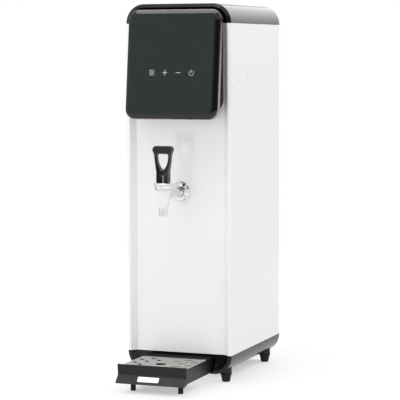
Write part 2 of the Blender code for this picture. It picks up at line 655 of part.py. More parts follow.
tap_flange = turned(
    "tap_flange",
    [(0.0090, PANEL - GAP), (0.0176, PANEL - GAP), (0.0176, PANEL - 0.0016), (0.0160, PANEL - 0.0034),
     (0.0118, PANEL - 0.0042), (0.0112, PANEL - 0.0062), (0.0090, PANEL - 0.0062)],
    CHROME, (0, 0, TAP_Z), ALONG_Y, 24)
tap_washer = turned(
    "tap_washer", [(0.0081, PANEL + 0.0035), (0.0130, PANEL + 0.0035), (0.0130, PANEL + 0.0015), (0.0081, PANEL + 0.0015)],
    SILICONE, (0, 0, TAP_Z), ALONG_Y, 20)
tap_lock_nut = flat(
    "tap_lock_nut", [circle(0, TAP_Z, 0.0138, 6), circle(0, TAP_Z, 0.0081, 18)], 0.0065, BRASS,
    (0, PANEL + 0.0071, 0), FACING)
outlet_hose = turned(
    "outlet_hose", [(0.0065, -0.0165), (0.0085, -0.0165), (0.0085, -0.0475), (0.0065, -0.0475)],
    SILICONE, (0, 0, TAP_Z), ALONG_Y, 20)

# ---------------------------------------------------------------- tank and heater
AT_TANK = (0, TANK_Y, 0)
W = 0.0012
tank_outer = [(0.0300, TANK_TOP), (0.0600, TANK_TOP - 0.002), (0.0740, TANK_TOP - 0.010), (TANK_R, TANK_TOP - 0.022),
              (TANK_R, TANK_LOW + 0.022), (0.0740, TANK_LOW + 0.010), (0.0600, TANK_LOW + 0.002), (0.0220, TANK_LOW)]
tank_inner = [(0.0220, TANK_LOW + W), (0.0597, TANK_LOW + 0.002 + W), (0.0731, TANK_LOW + 0.010 + 0.0009),
              (TANK_R - W, TANK_LOW + 0.0224), (TANK_R - W, TANK_TOP - 0.0224), (0.0731, TANK_TOP - 0.0109),
              (0.0597, TANK_TOP - 0.002 - W), (0.0300, TANK_TOP - W)]
water_tank = turned("water_tank", tank_outer + tank_inner, STEEL, AT_TANK, UP, 26)
join(
    water_tank,
    rod("tank_outlet", 0.0060, (0, -0.0290, TAP_Z), (0, TANK_Y - TANK_R + 0.0012, TAP_Z), sides=16),
    rod("tank_inlet", 0.0060, (0.0300, TANK_Y + 0.0709, 0.3000), (0.0300, 0.1560, 0.3000), sides=16),
)
cut(
    water_tank,
    rod("cut_tank_outlet", 0.0044, (0, -0.0400, TAP_Z), (0, TANK_Y - TANK_R + 0.0100, TAP_Z), sides=14),
    rod("cut_tank_inlet", 0.0044, (0.0300, 0.1200, 0.3000), (0.0300, 0.1700, 0.3000), sides=14),
)
tank_insulation = turned(
    "tank_insulation",
    [(0.0880, 0.5700), (0.0880, 0.2900), (0.0784, 0.2900), (0.0784, 0.5700)], FOAM, AT_TANK, UP, 26)
cut(
    tank_insulation,
    rod("cut_jacket_outlet", 0.0100, (0, -0.0400, TAP_Z), (0, 0.0100, TAP_Z), sides=14),
    rod("cut_jacket_inlet", 0.0090, (0.0300, 0.1200, 0.3000), (0.0300, 0.1700, 0.3000), sides=14),
)
tank_lid = flat(
    "tank_lid",
    [circle(0, 0, 0.0360, 32), circle(0.0180, 0, 0.0053, 14), circle(-0.0140, 0.0100, 0.0028, 10),
     circle(-0.0140, -0.0100, 0.0033, 12)],
    0.0025, STEEL, (0, TANK_Y, TANK_TOP + GAP + 0.00125))
level_probe = turned(
    "level_probe",
    [(0, 0.6150), (0.0015, 0.6150), (0.0015, 0.6110), (0.0048, 0.6100), (0.0048, 0.6031), (0.0025, 0.6031),
     (0.0025, 0.5900), (0.0015, 0.5890), (0.0015, 0.4400), (0, 0.4400)],
    STEEL, (-0.0140, TANK_Y + 0.0100, 0), UP, 12)
temperature_sensor = turned(
    "temperature_sensor",
    [(0, 0.6160), (0.0030, 0.6160), (0.0055, 0.6120), (0.0055, 0.6031), (0.0030, 0.6031), (0.0030, 0.5000), (0, 0.4985)],
    STEEL, (-0.0140, TANK_Y - 0.0100, 0), UP, 12)
heater_flange = flat(
    "heater_flange", [circle(0, 0, 0.0300, 28), circle(-0.0120, 0, 0.0043, 12), circle(0.0120, 0, 0.0043, 12)],
    0.0030, STEEL, (0, TANK_Y, TANK_LOW - GAP - 0.0015))
legs = [(0.0120, TANK_Y, 0.2460)]
legs += [(0.0120, TANK_Y, z) for z in (0.2900,)]
legs += [(0.0120 + 0.0280 * (1 - math.cos(a)) / 2, TANK_Y, 0.2900 + 0.0250 * a / math.pi) for a in
         (math.pi * i / 4 for i in range(1, 5))]
legs += [(0.0400 * math.cos(a), TANK_Y, 0.4200 + 0.0400 * math.sin(a)) for a in (math.pi * i / 10 for i in range(11))]
legs += [(-x, y, z) for x, y, z in legs[:6][::-1]]
heating_element = pipe("heating_element", legs, 0.0040, STEEL)
cutout_thermostat = turned(
    "cutout_thermostat",
    [(0, TANK_LOW - 0.0003), (0.0082, TANK_LOW - 0.0003), (0.0082, 0.2560), (0.0062, 0.2550), (0.0062, 0.2480), (0, 0.2480)],
    NYLON, (0.0400, TANK_Y, 0), UP, 16)
STAND_TOP = TANK_LOW - GAP - 0.0015
stand_path = bent(
    [(-0.0960, BODY_LOW + 0.0018), (-0.0820, BODY_LOW + 0.0018), (-0.0820, STAND_TOP), (0.0820, STAND_TOP),
     (0.0820, BODY_LOW + 0.0018), (0.0960, BODY_LOW + 0.0018)],
    [0.0020, 0.0030, 0.0030, 0.0020], 2)
tank_stand = as_mesh(flat("tank_stand", [strip(stand_path, 0.0015)], 0.1000, ZINC, (0, TANK_Y, 0), FACING))
cut(tank_stand, rod("cut_stand", 0.0490, (0, TANK_Y, 0.2400), (0, TANK_Y, 0.2700), sides=28))

# ---------------------------------------------------------------- water in, drain and vent
inlet_valve = turned(
    "inlet_valve",
    [(0, 0.2203), (0.0122, 0.2203), (0.0132, 0.2190), (0.0132, 0.1911), (0.0170, 0.1911), (0.0170, 0.1870),
     (0.0125, 0.1870), (0.0125, 0.1480), (0.0105, 0.1460), (0, 0.1460)],
    NYLON, (INLET[0], 0, INLET[1]), ALONG_Y, 20)
join(inlet_valve, rod("valve_outlet", 0.0055, (INLET[0], 0.1560, INLET[1]), (INLET[0], 0.1560, 0.1240), sides=16))
cut(
    inlet_valve,
    rod("cut_valve_inlet", 0.0090, (INLET[0], 0.1700, INLET[1]), (INLET[0], 0.2300, INLET[1]), sides=20),
    rod("cut_valve_bore", 0.0030, (INLET[0], 0.1560, INLET[1]), (INLET[0], 0.1560, 0.1300), sides=12),
    rod("cut_valve_link", 0.0030, (INLET[0], 0.1560, INLET[1]), (INLET[0], 0.1720, INLET[1]), sides=12),
)
inlet_nut = flat(
    "inlet_nut", [circle(*INLET, 0.0180, 6), circle(*INLET, 0.0135, 24)], 0.0055, BRASS, (0, REAR + 0.00305, 0), FACING)
valve_coil = box("valve_coil", (INLET[0] - 0.0125, 0.1500, 0.0560), (INLET[0] + 0.0125, 0.1750, 0.0820), BLACK_SATIN, 0.0020)
inlet_hose = pipe("inlet_hose", [(INLET[0], 0.1560, 0.1244)] + smooth_route(
    [(INLET[0], 0.1560, 0.1290), (0.0540, 0.1580, 0.1500), (0.0640, 0.1640, 0.1850), (0.0600, 0.1700, 0.2500),
     (0.0440, 0.1740, 0.2850), (0.0320, 0.1700, 0.2990), (0.0300, 0.1620, 0.3000)], 3)
    + [(0.0300, 0.1565, 0.3000)], 0.0050, SILICONE)
vent_hose = pipe("vent_hose", [(0.0180, TANK_Y, 0.5950)] + smooth_route(
    [(0.0180, TANK_Y, 0.6060), (0.0240, 0.0800, 0.6200), (0.0420, 0.1300, 0.6200), (0.0600, 0.1660, 0.6020),
     (0.0700, 0.1740, 0.5500), (0.0740, 0.1750, 0.4000), (0.0740, 0.1750, 0.2500), (0.0700, 0.1740, 0.1900),
     (0.0560, 0.1740, 0.1560), (0.0500, 0.1860, 0.1500)], 3) + [(0.0500, 0.2030, 0.1500)], 0.0048, SILICONE)
drain_fitting = turned(
    "drain_fitting",
    [(0.0040, 0.2110), (0.0072, 0.2110), (0.0080, 0.2100), (0.0080, 0.1911), (0.0112, 0.1911), (0.0112, 0.1870),
     (0.0052, 0.1870), (0.0052, 0.1700), (0.0040, 0.1700)],
    NYLON, (DRAIN[0], 0, DRAIN[1]), ALONG_Y, 16)
drain_cap = turned(
    "drain_cap",
    [(0, 0.2160), (0.0100, 0.2160), (0.0112, 0.2148), (0.0112, 0.1980), (0.0084, 0.1980), (0.0084, 0.2120), (0, 0.2120)],
    BLACK_SATIN, (DRAIN[0], 0, DRAIN[1]), ALONG_Y, 20)
drain_hose = pipe("drain_hose", smooth_route(
    [(-0.0400, 0.1060, 0.2560), (-0.0400, 0.1080, 0.2400), (-0.0340, 0.1220, 0.2100), (-0.0160, 0.1380, 0.1500),
     (-0.0020, 0.1440, 0.1050), (0.0000, 0.1540, 0.0860), (0.0000, 0.1640, 0.0850)], 3)
    + [(0.0000, 0.1694, 0.0850)], 0.0048, SILICONE)

# ---------------------------------------------------------------- electrics
cable_gland = turned(
    "cable_gland",
    [(0.0042, 0.2130), (0.0066, 0.2130), (0.0090, 0.2040), (0.0090, 0.1990), (0.0108, 0.1985), (0.0108, REAR + GAP),
     (0.0076, REAR + GAP), (0.0076, 0.1800), (0.0042, 0.1800)],
    BLACK_SATIN, (GLAND[0], 0, GLAND[1]), ALONG_Y, 16)
sx, sz = SWITCH
power_switch_housing = box("power_switch_housing", (sx - 0.0060, 0.1700, sz - 0.0094), (sx + 0.0060, REAR + 0.0010, sz + 0.0094), BLACK_SATIN)
join(power_switch_housing, box("switch_flange", (sx - 0.0076, REAR + GAP, sz - 0.0108), (sx + 0.0076, REAR + 0.0023, sz + 0.0108)))
cut(power_switch_housing, box("cut_switch", (sx - 0.0049, 0.1840, sz - 0.0085), (sx + 0.0049, 0.2100, sz + 0.0085)))
# Rocker: two faces at a shallow angle, as (height, depth) points; it stands tipped to one side at rest.
TIP, ROCKER_Y = math.radians(8), 0.1935
rocker = [(-0.0078, 0.0035), (0.0, 0.0024), (0.0078, 0.0035), (0.0070, -0.0022), (0.0030, -0.0060), (-0.0030, -0.0060),
          (-0.0070, -0.0022)]
rocker_outline = [
    (ROCKER_Y + d * math.cos(TIP) + h * math.sin(TIP), sz + h * math.cos(TIP) - d * math.sin(TIP)) for h, d in rocker]
power_switch_rocker = flat("power_switch_rocker", [rocker_outline], 0.0090, BLACK_GLOSS, (sx, 0, 0), SIDEWAYS)

board_bracket = flat("board_bracket", [strip(bent(
    [(-0.0100, BODY_LOW + 0.0018), (-0.0340, BODY_LOW + 0.0018), (-0.0340, 0.1960)][::-1], [0.0020], 2), 0.0015)],
    0.1100, ZINC, (0, 0, 0), SIDEWAYS)
main_board = box("main_board", (-0.0600, -0.0400, 0.0800), (0.0600, -0.0384, 0.1900), BOARD)
join(
    main_board,
    box("relay_a", (-0.0520, -0.0560, 0.1450), (-0.0330, -0.0395, 0.1650)),
    box("relay_b", (-0.0280, -0.0560, 0.1450), (-0.0090, -0.0395, 0.1650)),
    box("transformer", (0.0100, -0.0620, 0.1100), (0.0450, -0.0395, 0.1450)),
    rod("capacitor", 0.0060, (-0.0300, -0.0395, 0.1150), (-0.0300, -0.0600, 0.1150), sides=16),
    box("connector", (-0.0500, -0.0480, 0.0850), (0.0300, -0.0395, 0.0930)),
    *[rod(f"standoff_{i}", 0.0030, (x, -0.0390, z), (x, -0.0343, z), sides=10)
      for i, (x, z) in enumerate(((-0.0500, 0.0880), (0.0500, 0.0880), (-0.0500, 0.1820), (0.0500, 0.1820)))],
)
fins = [(-0.0250, -0.0321), (0.0250, -0.0321)]
for i in range(6):
    x = 0.0250 - i * 0.0096
    fins += [(x, -0.0140), (x - 0.0020, -0.0140)]
    if i < 5:
        fins += [(x - 0.0020, -0.0285), (x - 0.0096, -0.0285)]
heat_sink = flat("heat_sink", [fins], 0.0700, ALUMINIUM, (0, 0, 0.1450))
terminal_block = box("terminal_block", (-0.0750, 0.1350, 0.0533), (-0.0350, 0.1530, 0.0690), NYLON)
cut(terminal_block, *[
    rod(f"cut_terminal_{i}", 0.0035, (-0.0670 + i * 0.0120, 0.1440, 0.0620), (-0.0670 + i * 0.0120, 0.1440, 0.0800), sides=12)
    for i in range(3)])
display_cable = pipe("display_cable", smooth_route(
    [(0.0300, -0.0440, 0.1905 + 0.004), (0.0300, -0.0500, 0.2300), (0.0300, -0.0560, 0.3400), (0.0300, -0.0560, 0.5000),
     (0.0300, -0.0580, 0.5500), (0.0300, -0.0640, 0.5720), (0.0300, -0.0760, 0.5750), (0.0300, -0.1001, 0.5750)], 3),
    0.0020, RUBBER)

# ---------------------------------------------------------------- what moves, each on its joint's axis
stem_axis = pivot("tap_stem_axis", (0, TAP_Y, BONNET_TOP), [tap_stem, tap_seat_cup, tap_pivot_pin])
lever_axis = pivot("tap_lever_axis", (0, TAP_Y, PIN_Z), [tap_handle])
tray_axis = pivot("drip_tray_axis", (0, TRAY_REAR, TRAY_LOW), [drip_tray, tray_label_plate, *tray_feet])
grate_axis = pivot("drip_grate_axis", (0, (GRATE_Y0 + GRATE_Y1) / 2, GRATE_Z), [drip_grate])
switch_axis = pivot("power_switch_axis", (sx, ROCKER_Y, sz), [power_switch_rocker])
cap_axis = pivot("drain_cap_axis", (DRAIN[0], 0.2000, DRAIN[1]), [drain_cap])
for inner, outer in ((lever_axis, stem_axis), (grate_axis, tray_axis)):
    inner.parent = outer
    inner.matrix_parent_inverse = outer.matrix_world.inverted()
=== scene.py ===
"""Looks of the counter-top water boiler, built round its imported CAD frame.

Metres, +X to the viewer's right, +Y to the back, +Z up, as in the frame.
"""

import math

import bmesh
import bpy
from mathutils import Matrix, Vector


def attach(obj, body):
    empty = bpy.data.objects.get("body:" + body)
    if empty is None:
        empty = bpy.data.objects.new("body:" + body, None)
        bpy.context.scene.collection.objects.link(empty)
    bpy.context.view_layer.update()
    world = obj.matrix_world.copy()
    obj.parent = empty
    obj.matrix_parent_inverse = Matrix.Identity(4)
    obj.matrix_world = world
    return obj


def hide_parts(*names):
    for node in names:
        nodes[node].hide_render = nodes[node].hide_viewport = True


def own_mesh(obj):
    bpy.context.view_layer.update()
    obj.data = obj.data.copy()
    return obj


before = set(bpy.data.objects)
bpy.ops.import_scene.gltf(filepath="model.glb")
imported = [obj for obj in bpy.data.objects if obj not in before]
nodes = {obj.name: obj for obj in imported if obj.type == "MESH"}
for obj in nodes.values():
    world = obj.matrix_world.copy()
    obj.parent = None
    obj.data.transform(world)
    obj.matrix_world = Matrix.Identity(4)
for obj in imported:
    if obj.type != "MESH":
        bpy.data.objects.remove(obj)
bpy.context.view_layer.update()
scene = bpy.context.scene

# ---------------------------------------------------------------- camera
YAW, PITCH, ROLL = (math.radians(a) for a in (20.895, 4.843, -0.188))
forward = Vector((-math.sin(YAW) * math.cos(PITCH), math.cos(YAW) * math.cos(PITCH), -math.sin(PITCH)))
level = Vector((math.cos(YAW), math.sin(YAW), 0))
above = level.cross(forward)
right = level * math.cos(ROLL) + above * math.sin(ROLL)
upward = above * math.cos(ROLL) - level * math.sin(ROLL)
lens = bpy.data.cameras.new("camera")
lens.lens, lens.sensor_width, lens.clip_start, lens.clip_end = 156.99, 36.0, 0.1, 60.0
camera = bpy.data.objects.new("camera", lens)
scene.collection.objects.link(camera)
camera.matrix_world = (
    Matrix.Translation((1.1456, -2.9728, 0.5920)) @ Matrix((right, upward, -forward)).transposed().to_4x4()
)
scene.camera = camera

# ---------------------------------------------------------------- dimensions, as in the CAD
GAP = 0.0003
HALF_W, FRONT, PANEL, REAR, DISH = 0.1000, -0.0780, -0.0703, 0.1927, 0.0156
CREST, CREST_IN = -0.0805, 0.0058
BODY_LOW, BODY_TOP, PLINTH_LOW, CAP_TOP = 0.0515, 0.6430, 0.0170, 0.6780
SHOULDER_R, SHEET, MOULD = 0.0340, 0.0012, 0.0028
DISP_LEAN, DISP_C = math.radians(6.6), (0.0, -0.1088, 0.5712)
DISP_HW, DISP_HH, DISP_R = 0.0874, 0.0969, 0.0175
TRAY_HW, TRAY_FRONT, TRAY_REAR, TRAY_LOW, TRAY_TOP = 0.0644, -0.2104, 0.0100, 0.0198, 0.0498
LIP_Y, LIP_Z, CREASE_Y, CREASE_Z = -0.2203, 0.0187, -0.2086, 0.0315
BASIN_HW, RUNNER_Y = 0.0618, -0.0600
GRATE_Y0, GRATE_Y1, GRATE_HW, GRATE_Z, GRATE_T = -0.2070, -0.1030, 0.0614, 0.0465, 0.0015
TAP_Y, TAP_Z, PIN_Z, BONNET_TOP = -0.1515, 0.3435, 0.3715, 0.3640
FOOT_X, FOOT_Y = 0.0795, (-0.0510, 0.1650)
TRAY_FOOT_X, TRAY_FOOT_Y = 0.0448, -0.1865
SWITCH, GLAND, INLET, DRAIN, VENT = (-0.055, 0.130), (-0.055, 0.085), (0.050, 0.095), (0.0, 0.085), (0.050, 0.150)
SCREWS = [(sx * 0.0915, z) for z in (0.0700, 0.3470, 0.6240) for sx in (-1, 1)]

UP = Matrix.Identity(3)
ALONG_Y = Matrix(((1, 0, 0), (0, 0, 1), (0, -1, 0)))
FACING = Matrix(((1, 0, 0), (0, 0, -1), (0, 1, 0)))
SIDEWAYS = Matrix(((0, 0, 1), (1, 0, 0), (0, 1, 0)))
LEAN_C, LEAN_S = math.cos(DISP_LEAN), math.sin(DISP_LEAN)
LEAN = Matrix(((1, 0, 0), (0, LEAN_S, -LEAN_C), (0, LEAN_C, LEAN_S)))


# ---------------------------------------------------------------- materials
class Finish:
    """A procedural material. Numbers that don't vary sit on the shader's own sockets."""

    def __init__(self, name, rough=0.5, metal=0.0, **fixed):
        self.material = bpy.data.materials.new(name)
        self.material.use_nodes = True
        self.tree = self.material.node_tree
        self.shader = self.tree.nodes["Principled BSDF"]
        self.shader.inputs["Roughness"].default_value = rough
        self.shader.inputs["Metallic"].default_value = metal
        for socket, value in fixed.items():
            self.shader.inputs[socket.replace("_", " ")].default_value = value
        self.where = self.add("ShaderNodeTexCoord").outputs["Object"]
        self.normal = None

    def add(self, kind, **settings):
        node = self.tree.nodes.new(kind)
        for key, value in settings.items():
            setattr(node, key, value)
        return node

    def link(self, start, end):
        self.tree.links.new(start, end)

    def placed(self, stretch, turn):
        node = self.add("ShaderNodeMapping")
        node.inputs["Scale"].default_value = stretch
        node.inputs["Rotation"].default_value = turn
        self.link(self.where, node.inputs["Vector"])
        return node.outputs["Vector"]

    def noise(self, scale, detail=2.0, rough=0.5, stretch=(1, 1, 1), turn=(0, 0, 0), twist=0.0):
        node = self.add("ShaderNodeTexNoise")
        node.inputs["Scale"].default_value = scale
        node.inputs["Detail"].default_value = detail
        node.inputs["Roughness"].default_value = rough
        node.inputs["Distortion"].default_value = twist
        self.link(self.placed(stretch, turn), node.inputs["Vector"])
        return node.outputs["Fac"]

    def cells(self, scale, output="Distance", feature="F1", stretch=(1, 1, 1)):
        node = self.add("ShaderNodeTexVoronoi", feature=feature)
        node.inputs["Scale"].default_value = scale
        self.link(self.placed(stretch, (0, 0, 0)), node.inputs["Vector"])
        return node.outputs[output]

    def span(self, value, from_low, from_high, to_low, to_high):
        node = self.add("ShaderNodeMapRange", clamp=True)
        self.link(value, node.inputs["Value"])
        for key, number in (("From Min", from_low), ("From Max", from_high), ("To Min", to_low), ("To Max", to_high)):
            node.inputs[key].default_value = number
        return node.outputs["Result"]

    def maths(self, operation, first, second):
        node = self.add("ShaderNodeMath", operation=operation)
        for socket, value in zip(node.inputs, (first, second)):
            if isinstance(value, (int, float)):
                socket.default_value = value
            else:
                self.link(value, socket)
        return node.outputs["Value"]

    def mixed(self, share, first, second):
        node = self.add("ShaderNodeMix", data_type="RGBA")
        for socket, value in ((node.inputs[0], share), (node.inputs[6], first), (node.inputs[7], second)):
            if isinstance(value, (int, float)):
                socket.default_value = value
            elif isinstance(value, tuple):
                socket.default_value = (*value, 1.0)
            else:
                self.link(value, socket)
        return node.outputs[2]

    def worn_edges(self, radius, start=0.02, end=0.22):
        """1 along sharp edges and 0 on flat faces."""
        soft = self.add("ShaderNodeBevel", samples=4)
        soft.inputs["Radius"].default_value = radius
        plain = self.add("ShaderNodeNewGeometry")
        dot = self.add("ShaderNodeVectorMath", operation="DOT_PRODUCT")
        self.link(soft.outputs["Normal"], dot.inputs[0])
        self.link(plain.outputs["Normal"], dot.inputs[1])
        return self.span(self.maths("SUBTRACT", 1.0, dot.outputs["Value"]), start, end, 0.0, 1.0)

    def colour(self, value):
        self.link(value, self.shader.inputs["Base Color"])

    def roughness(self, value):
        self.link(value, self.shader.inputs["Roughness"])

    def relief(self, height, depth, strength=1.0):
        node = self.add("ShaderNodeBump")
        node.inputs["Strength"].default_value = strength
        node.inputs["Distance"].default_value = depth
        self.link(height, node.inputs["Height"])
        if self.normal is not None:
            self.link(self.normal, node.inputs["Normal"])
        self.normal = node.outputs["Normal"]
        self.link(self.normal, self.shader.inputs["Normal"])


def enamel(name="white_enamel", tone=(0.812, 0.812, 0.798)):
    """Baked powder coat: faint orange peel, soft unevenness and a fine grain."""
    f = Finish(name, IOR=1.5)
    low, high = tuple(c * 0.996 for c in tone), tuple(min(0.9, c * 1.004) for c in tone)
    base = f.mixed(f.span(f.noise(9.0, 3.0), 0.35, 0.65, 0.0, 1.0), low, high)
    grain = f.span(f.noise(900.0, 2.0), 0.4, 0.6, 0.0, 1.0)
    f.colour(f.mixed(grain, base, tuple(c * 0.994 for c in tone)))
    f.roughness(f.span(f.noise(38.0, 4.0, 0.6), 0.3, 0.7, 0.27, 0.34))
    f.relief(f.noise(5.0, 1.0), 0.00006)
    f.relief(f.noise(560.0, 2.0), 0.000004)
    return f.material


def gloss_plastic(name="gloss_black", tone=(0.0028, 0.0031, 0.0033), rough=(0.09, 0.16)):
    """Polished moulded plastic: hair scratches, wiping haze and slightly dulled edges."""
    f = Finish(name, IOR=1.49)
    base = f.mixed(f.span(f.noise(14.0, 3.0), 0.35, 0.65, 0.0, 1.0), tuple(c * 0.85 for c in tone), tuple(c * 1.2 for c in tone))
    edge = f.maths("MULTIPLY", f.worn_edges(0.0007), f.span(f.noise(240.0, 3.0), 0.4, 0.7, 0.1, 0.8))
    f.colour(f.mixed(edge, base, (0.016, 0.017, 0.018)))
    haze = f.span(f.noise(22.0, 5.0, 0.65), 0.3, 0.7, *rough)
    hairs = f.span(f.noise(90.0, 2.0, 0.5, (14.0, 1.0, 1.0), (0.3, 0.5, 0.7)), 0.66, 0.70, 0.0, 0.10)
    f.roughness(f.maths("ADD", haze, hairs))
    f.relief(f.noise(7.0, 1.0), 0.00008)
    f.relief(f.noise(900.0, 2.0), 0.000004)
    return f.material


def satin_plastic(name, tone=(0.004, 0.0044, 0.0048), rough=(0.36, 0.46), grain=2600.0, depth=0.00002, index=1.46):
    """Spark-textured moulded plastic."""
    f = Finish(name, IOR=index)
    base = f.mixed(f.span(f.noise(18.0, 4.0), 0.3, 0.7, 0.0, 1.0), tuple(c * 0.86 for c in tone), tuple(c * 1.18 for c in tone))
    edge = f.maths("MULTIPLY", f.worn_edges(0.0007), f.span(f.noise(300.0, 3.0), 0.35, 0.7, 0.1, 0.9))
    f.colour(f.mixed(edge, base, (0.022, 0.023, 0.024)))
    f.roughness(f.span(f.noise(60.0, 5.0, 0.6), 0.3, 0.7, *rough))
    f.relief(f.noise(grain, 3.0, 0.6), depth)
    return f.material


def dark_glass():
    """Back-painted toughened glass with a trace of finger haze."""
    f = Finish("dark_glass", IOR=1.53)
    f.shader.inputs["Specular Tint"].default_value = (0.91, 1.0, 1.01, 1.0)
    f.colour(f.mixed(f.span(f.noise(6.0, 2.0), 0.35, 0.65, 0.0, 1.0), (0.0004, 0.0016, 0.0020), (0.0010, 0.0026, 0.0030)))
    f.roughness(f.span(f.noise(34.0, 5.0, 0.7, twist=0.6), 0.42, 0.72, 0.035, 0.085))
    f.relief(f.noise(11.0, 1.0), 0.00006)
    return f.material


def brushed_metal(name, tone, rough, stretch, metal=1.0, depth=0.000010, spread=0.10):
    """Metal brushed one way: long fine lines in colour, gloss and height."""
    f = Finish(name, metal=metal)
    lines = f.noise(1.0, 4.0, 0.65, stretch)
    base = f.mixed(f.span(lines, 0.3, 0.7, 0.0, 1.0), tuple(c * (1 - spread) for c in tone), tuple(min(1.0, c * (1 + spread)) for c in tone))
    marks = f.span(f.noise(70.0, 5.0, 0.7), 0.58, 0.74, 0.0, 0.28)
    f.colour(f.mixed(marks, base, tuple(c * 0.80 for c in tone)))
    f.roughness(f.maths("ADD", f.span(lines, 0.3, 0.7, rough[0], rough[1]), f.span(marks, 0.0, 0.3, 0.0, 0.08)))
    f.relief(lines, depth)
    return f.material


def plated(name="chrome", tone=(0.80, 0.81, 0.82), rough=(0.035, 0.10)):
    """Bright plating with faint water marks."""
    f = Finish(name, metal=1.0)
    f.colour(f.mixed(f.span(f.noise(55.0, 4.0), 0.35, 0.7, 0.0, 1.0), tone, tuple(c * 0.93 for c in tone)))
    rings = f.span(f.cells(210.0), 0.30, 0.42, 0.0, 1.0)
    few = f.span(f.noise(60.0, 2.0), 0.60, 0.68, 0.0, 0.07)
    f.roughness(f.maths("ADD", f.span(f.noise(120.0, 4.0), 0.3, 0.7, *rough), f.maths("MULTIPLY", rings, few)))
    f.relief(f.noise(140.0, 2.0), 0.000010)
    return f.material


def turned_metal(name, tone, rough):
    """Machined bar stock with fine tool marks round its axis."""
    f = Finish(name, metal=1.0)
    f.colour(f.mixed(f.span(f.noise(180.0, 4.0), 0.35, 0.7, 0.0, 1.0), tone, tuple(c * 0.84 for c in tone)))
    marks = f.noise(1.0, 3.0, 0.6, (60.0, 60.0, 4200.0))
    f.roughness(f.span(marks, 0.3, 0.7, *rough))
    f.relief(marks, 0.000012)
    return f.material


def spangled(name="zinc_plate", tone=(0.50, 0.51, 0.53)):
    """Hot-dipped zinc with its crystal pattern."""
    f = Finish(name, metal=1.0)
    flakes = f.cells(130.0, "Color")
    share = f.add("ShaderNodeSeparateColor")
    f.link(flakes, share.inputs[0])
    value = share.outputs[0]
    f.colour(f.mixed(value, tuple(c * 0.80 for c in tone), tuple(min(1.0, c * 1.22) for c in tone)))
    f.roughness(f.span(value, 0.0, 1.0, 0.30, 0.52))
    f.relief(f.noise(500.0, 3.0), 0.000010)
    return f.material


def rubber(name="rubber", tone=(0.0040, 0.0040, 0.0043)):
    f = Finish(name, IOR=1.40)
    dust = f.span(f.noise(130.0, 5.0, 0.7), 0.50, 0.80, 0.0, 0.35)
    f.colour(f.mixed(dust, tone, (0.016, 0.0155, 0.015)))
    f.roughness(f.span(f.noise(90.0, 4.0), 0.3, 0.7, 0.55, 0.75))
    f.relief(f.noise(1900.0, 3.0, 0.6), 0.00004)
    return f.material


def silicone(name="silicone", tone=(0.70, 0.70, 0.66)):
    f = Finish(name, IOR=1.43, Subsurface_Weight=0.15)
    f.shader.inputs["Subsurface Radius"].default_value = (0.004, 0.003, 0.002)
    f.shader.inputs["Subsurface Scale"].default_value = 0.3
    f.colour(f.mixed(f.span(f.noise(60.0, 3.0), 0.3, 0.7, 0.0, 1.0), tone, tuple(c * 0.88 for c in tone)))
    f.roughness(f.span(f.noise(220.0, 3.0), 0.3, 0.7, 0.38, 0.55))
    f.relief(f.noise(700.0, 2.0), 0.00002)
    return f.material


def nylon(name="nylon", tone=(0.66, 0.66, 0.63)):
    f = Finish(name, IOR=1.53, Subsurface_Weight=0.08)
    f.shader.inputs["Subsurface Radius"].default_value = (0.002, 0.002, 0.002)
    f.shader.inputs["Subsurface Scale"].default_value = 0.2
    f.colour(f.mixed(f.span(f.noise(40.0, 4.0), 0.3, 0.7, 0.0, 1.0), tone, tuple(c * 0.90 for c in tone)))
    f.roughness(f.span(f.noise(130.0, 4.0), 0.3, 0.7, 0.42, 0.58))
    f.relief(f.noise(1500.0, 3.0, 0.6), 0.00003)
    return f.material


def foam(name="foam"):
    f = Finish(name, rough=0.95)
    pores = f.cells(520.0)
    f.colour(f.mixed(f.span(pores, 0.0, 0.6, 0.0, 1.0), (0.030, 0.030, 0.033), (0.095, 0.095, 0.10)))
    f.roughness(f.span(f.noise(200.0, 3.0), 0.3, 0.7, 0.85, 1.0))
    f.relief(pores, 0.0004)
    return f.material


def circuit_board(name="circuit_board"):
    """Green solder mask over etched tracks."""
    f = Finish(name, IOR=1.55)
    tracks = f.cells(170.0, "Distance", "DISTANCE_TO_EDGE", (1.0, 1.0, 1.6))
    line = f.span(tracks, 0.05, 0.08, 1.0, 0.0)
    dots = f.span(f.cells(260.0), 0.10, 0.14, 1.0, 0.0)
    base = f.mixed(line, (0.012, 0.105, 0.045), (0.022, 0.175, 0.080))
    f.colour(f.mixed(dots, base, (0.48, 0.47, 0.42)))
    f.roughness(f.span(f.noise(160.0, 3.0), 0.3, 0.7, 0.28, 0.42))
    f.relief(line, 0.00004)
    return f.material


def print_ink(name="icon_ink"):
    """White screen print lit gently from behind."""
    f = Finish(name, rough=0.5, Emission_Strength=0.22)
    f.shader.inputs["Emission Color"].default_value = (0.92, 0.97, 1.0, 1.0)
    f.colour(f.mixed(f.span(f.noise(900.0, 2.0), 0.3, 0.7, 0.0, 1.0), (0.62, 0.64, 0.65), (0.74, 0.76, 0.77)))
    f.roughness(f.span(f.noise(400.0, 2.0), 0.3, 0.7, 0.4, 0.6))
    f.relief(f.noise(1500.0, 2.0), 0.00001)
    return f.material


def plate_film(name="blank_plate"):
    """Satin white film over a thin plate."""
    f = Finish(name, IOR=1.5)
    f.colour(f.mixed(f.span(f.noise(110.0, 4.0), 0.3, 0.7, 0.0, 1.0), (0.86, 0.86, 0.86), (0.90, 0.90, 0.895)))
    f.roughness(f.span(f.noise(260.0, 3.0), 0.3, 0.7, 0.30, 0.42))
    f.relief(f.noise(1300.0, 2.0), 0.00001)
    return f.material


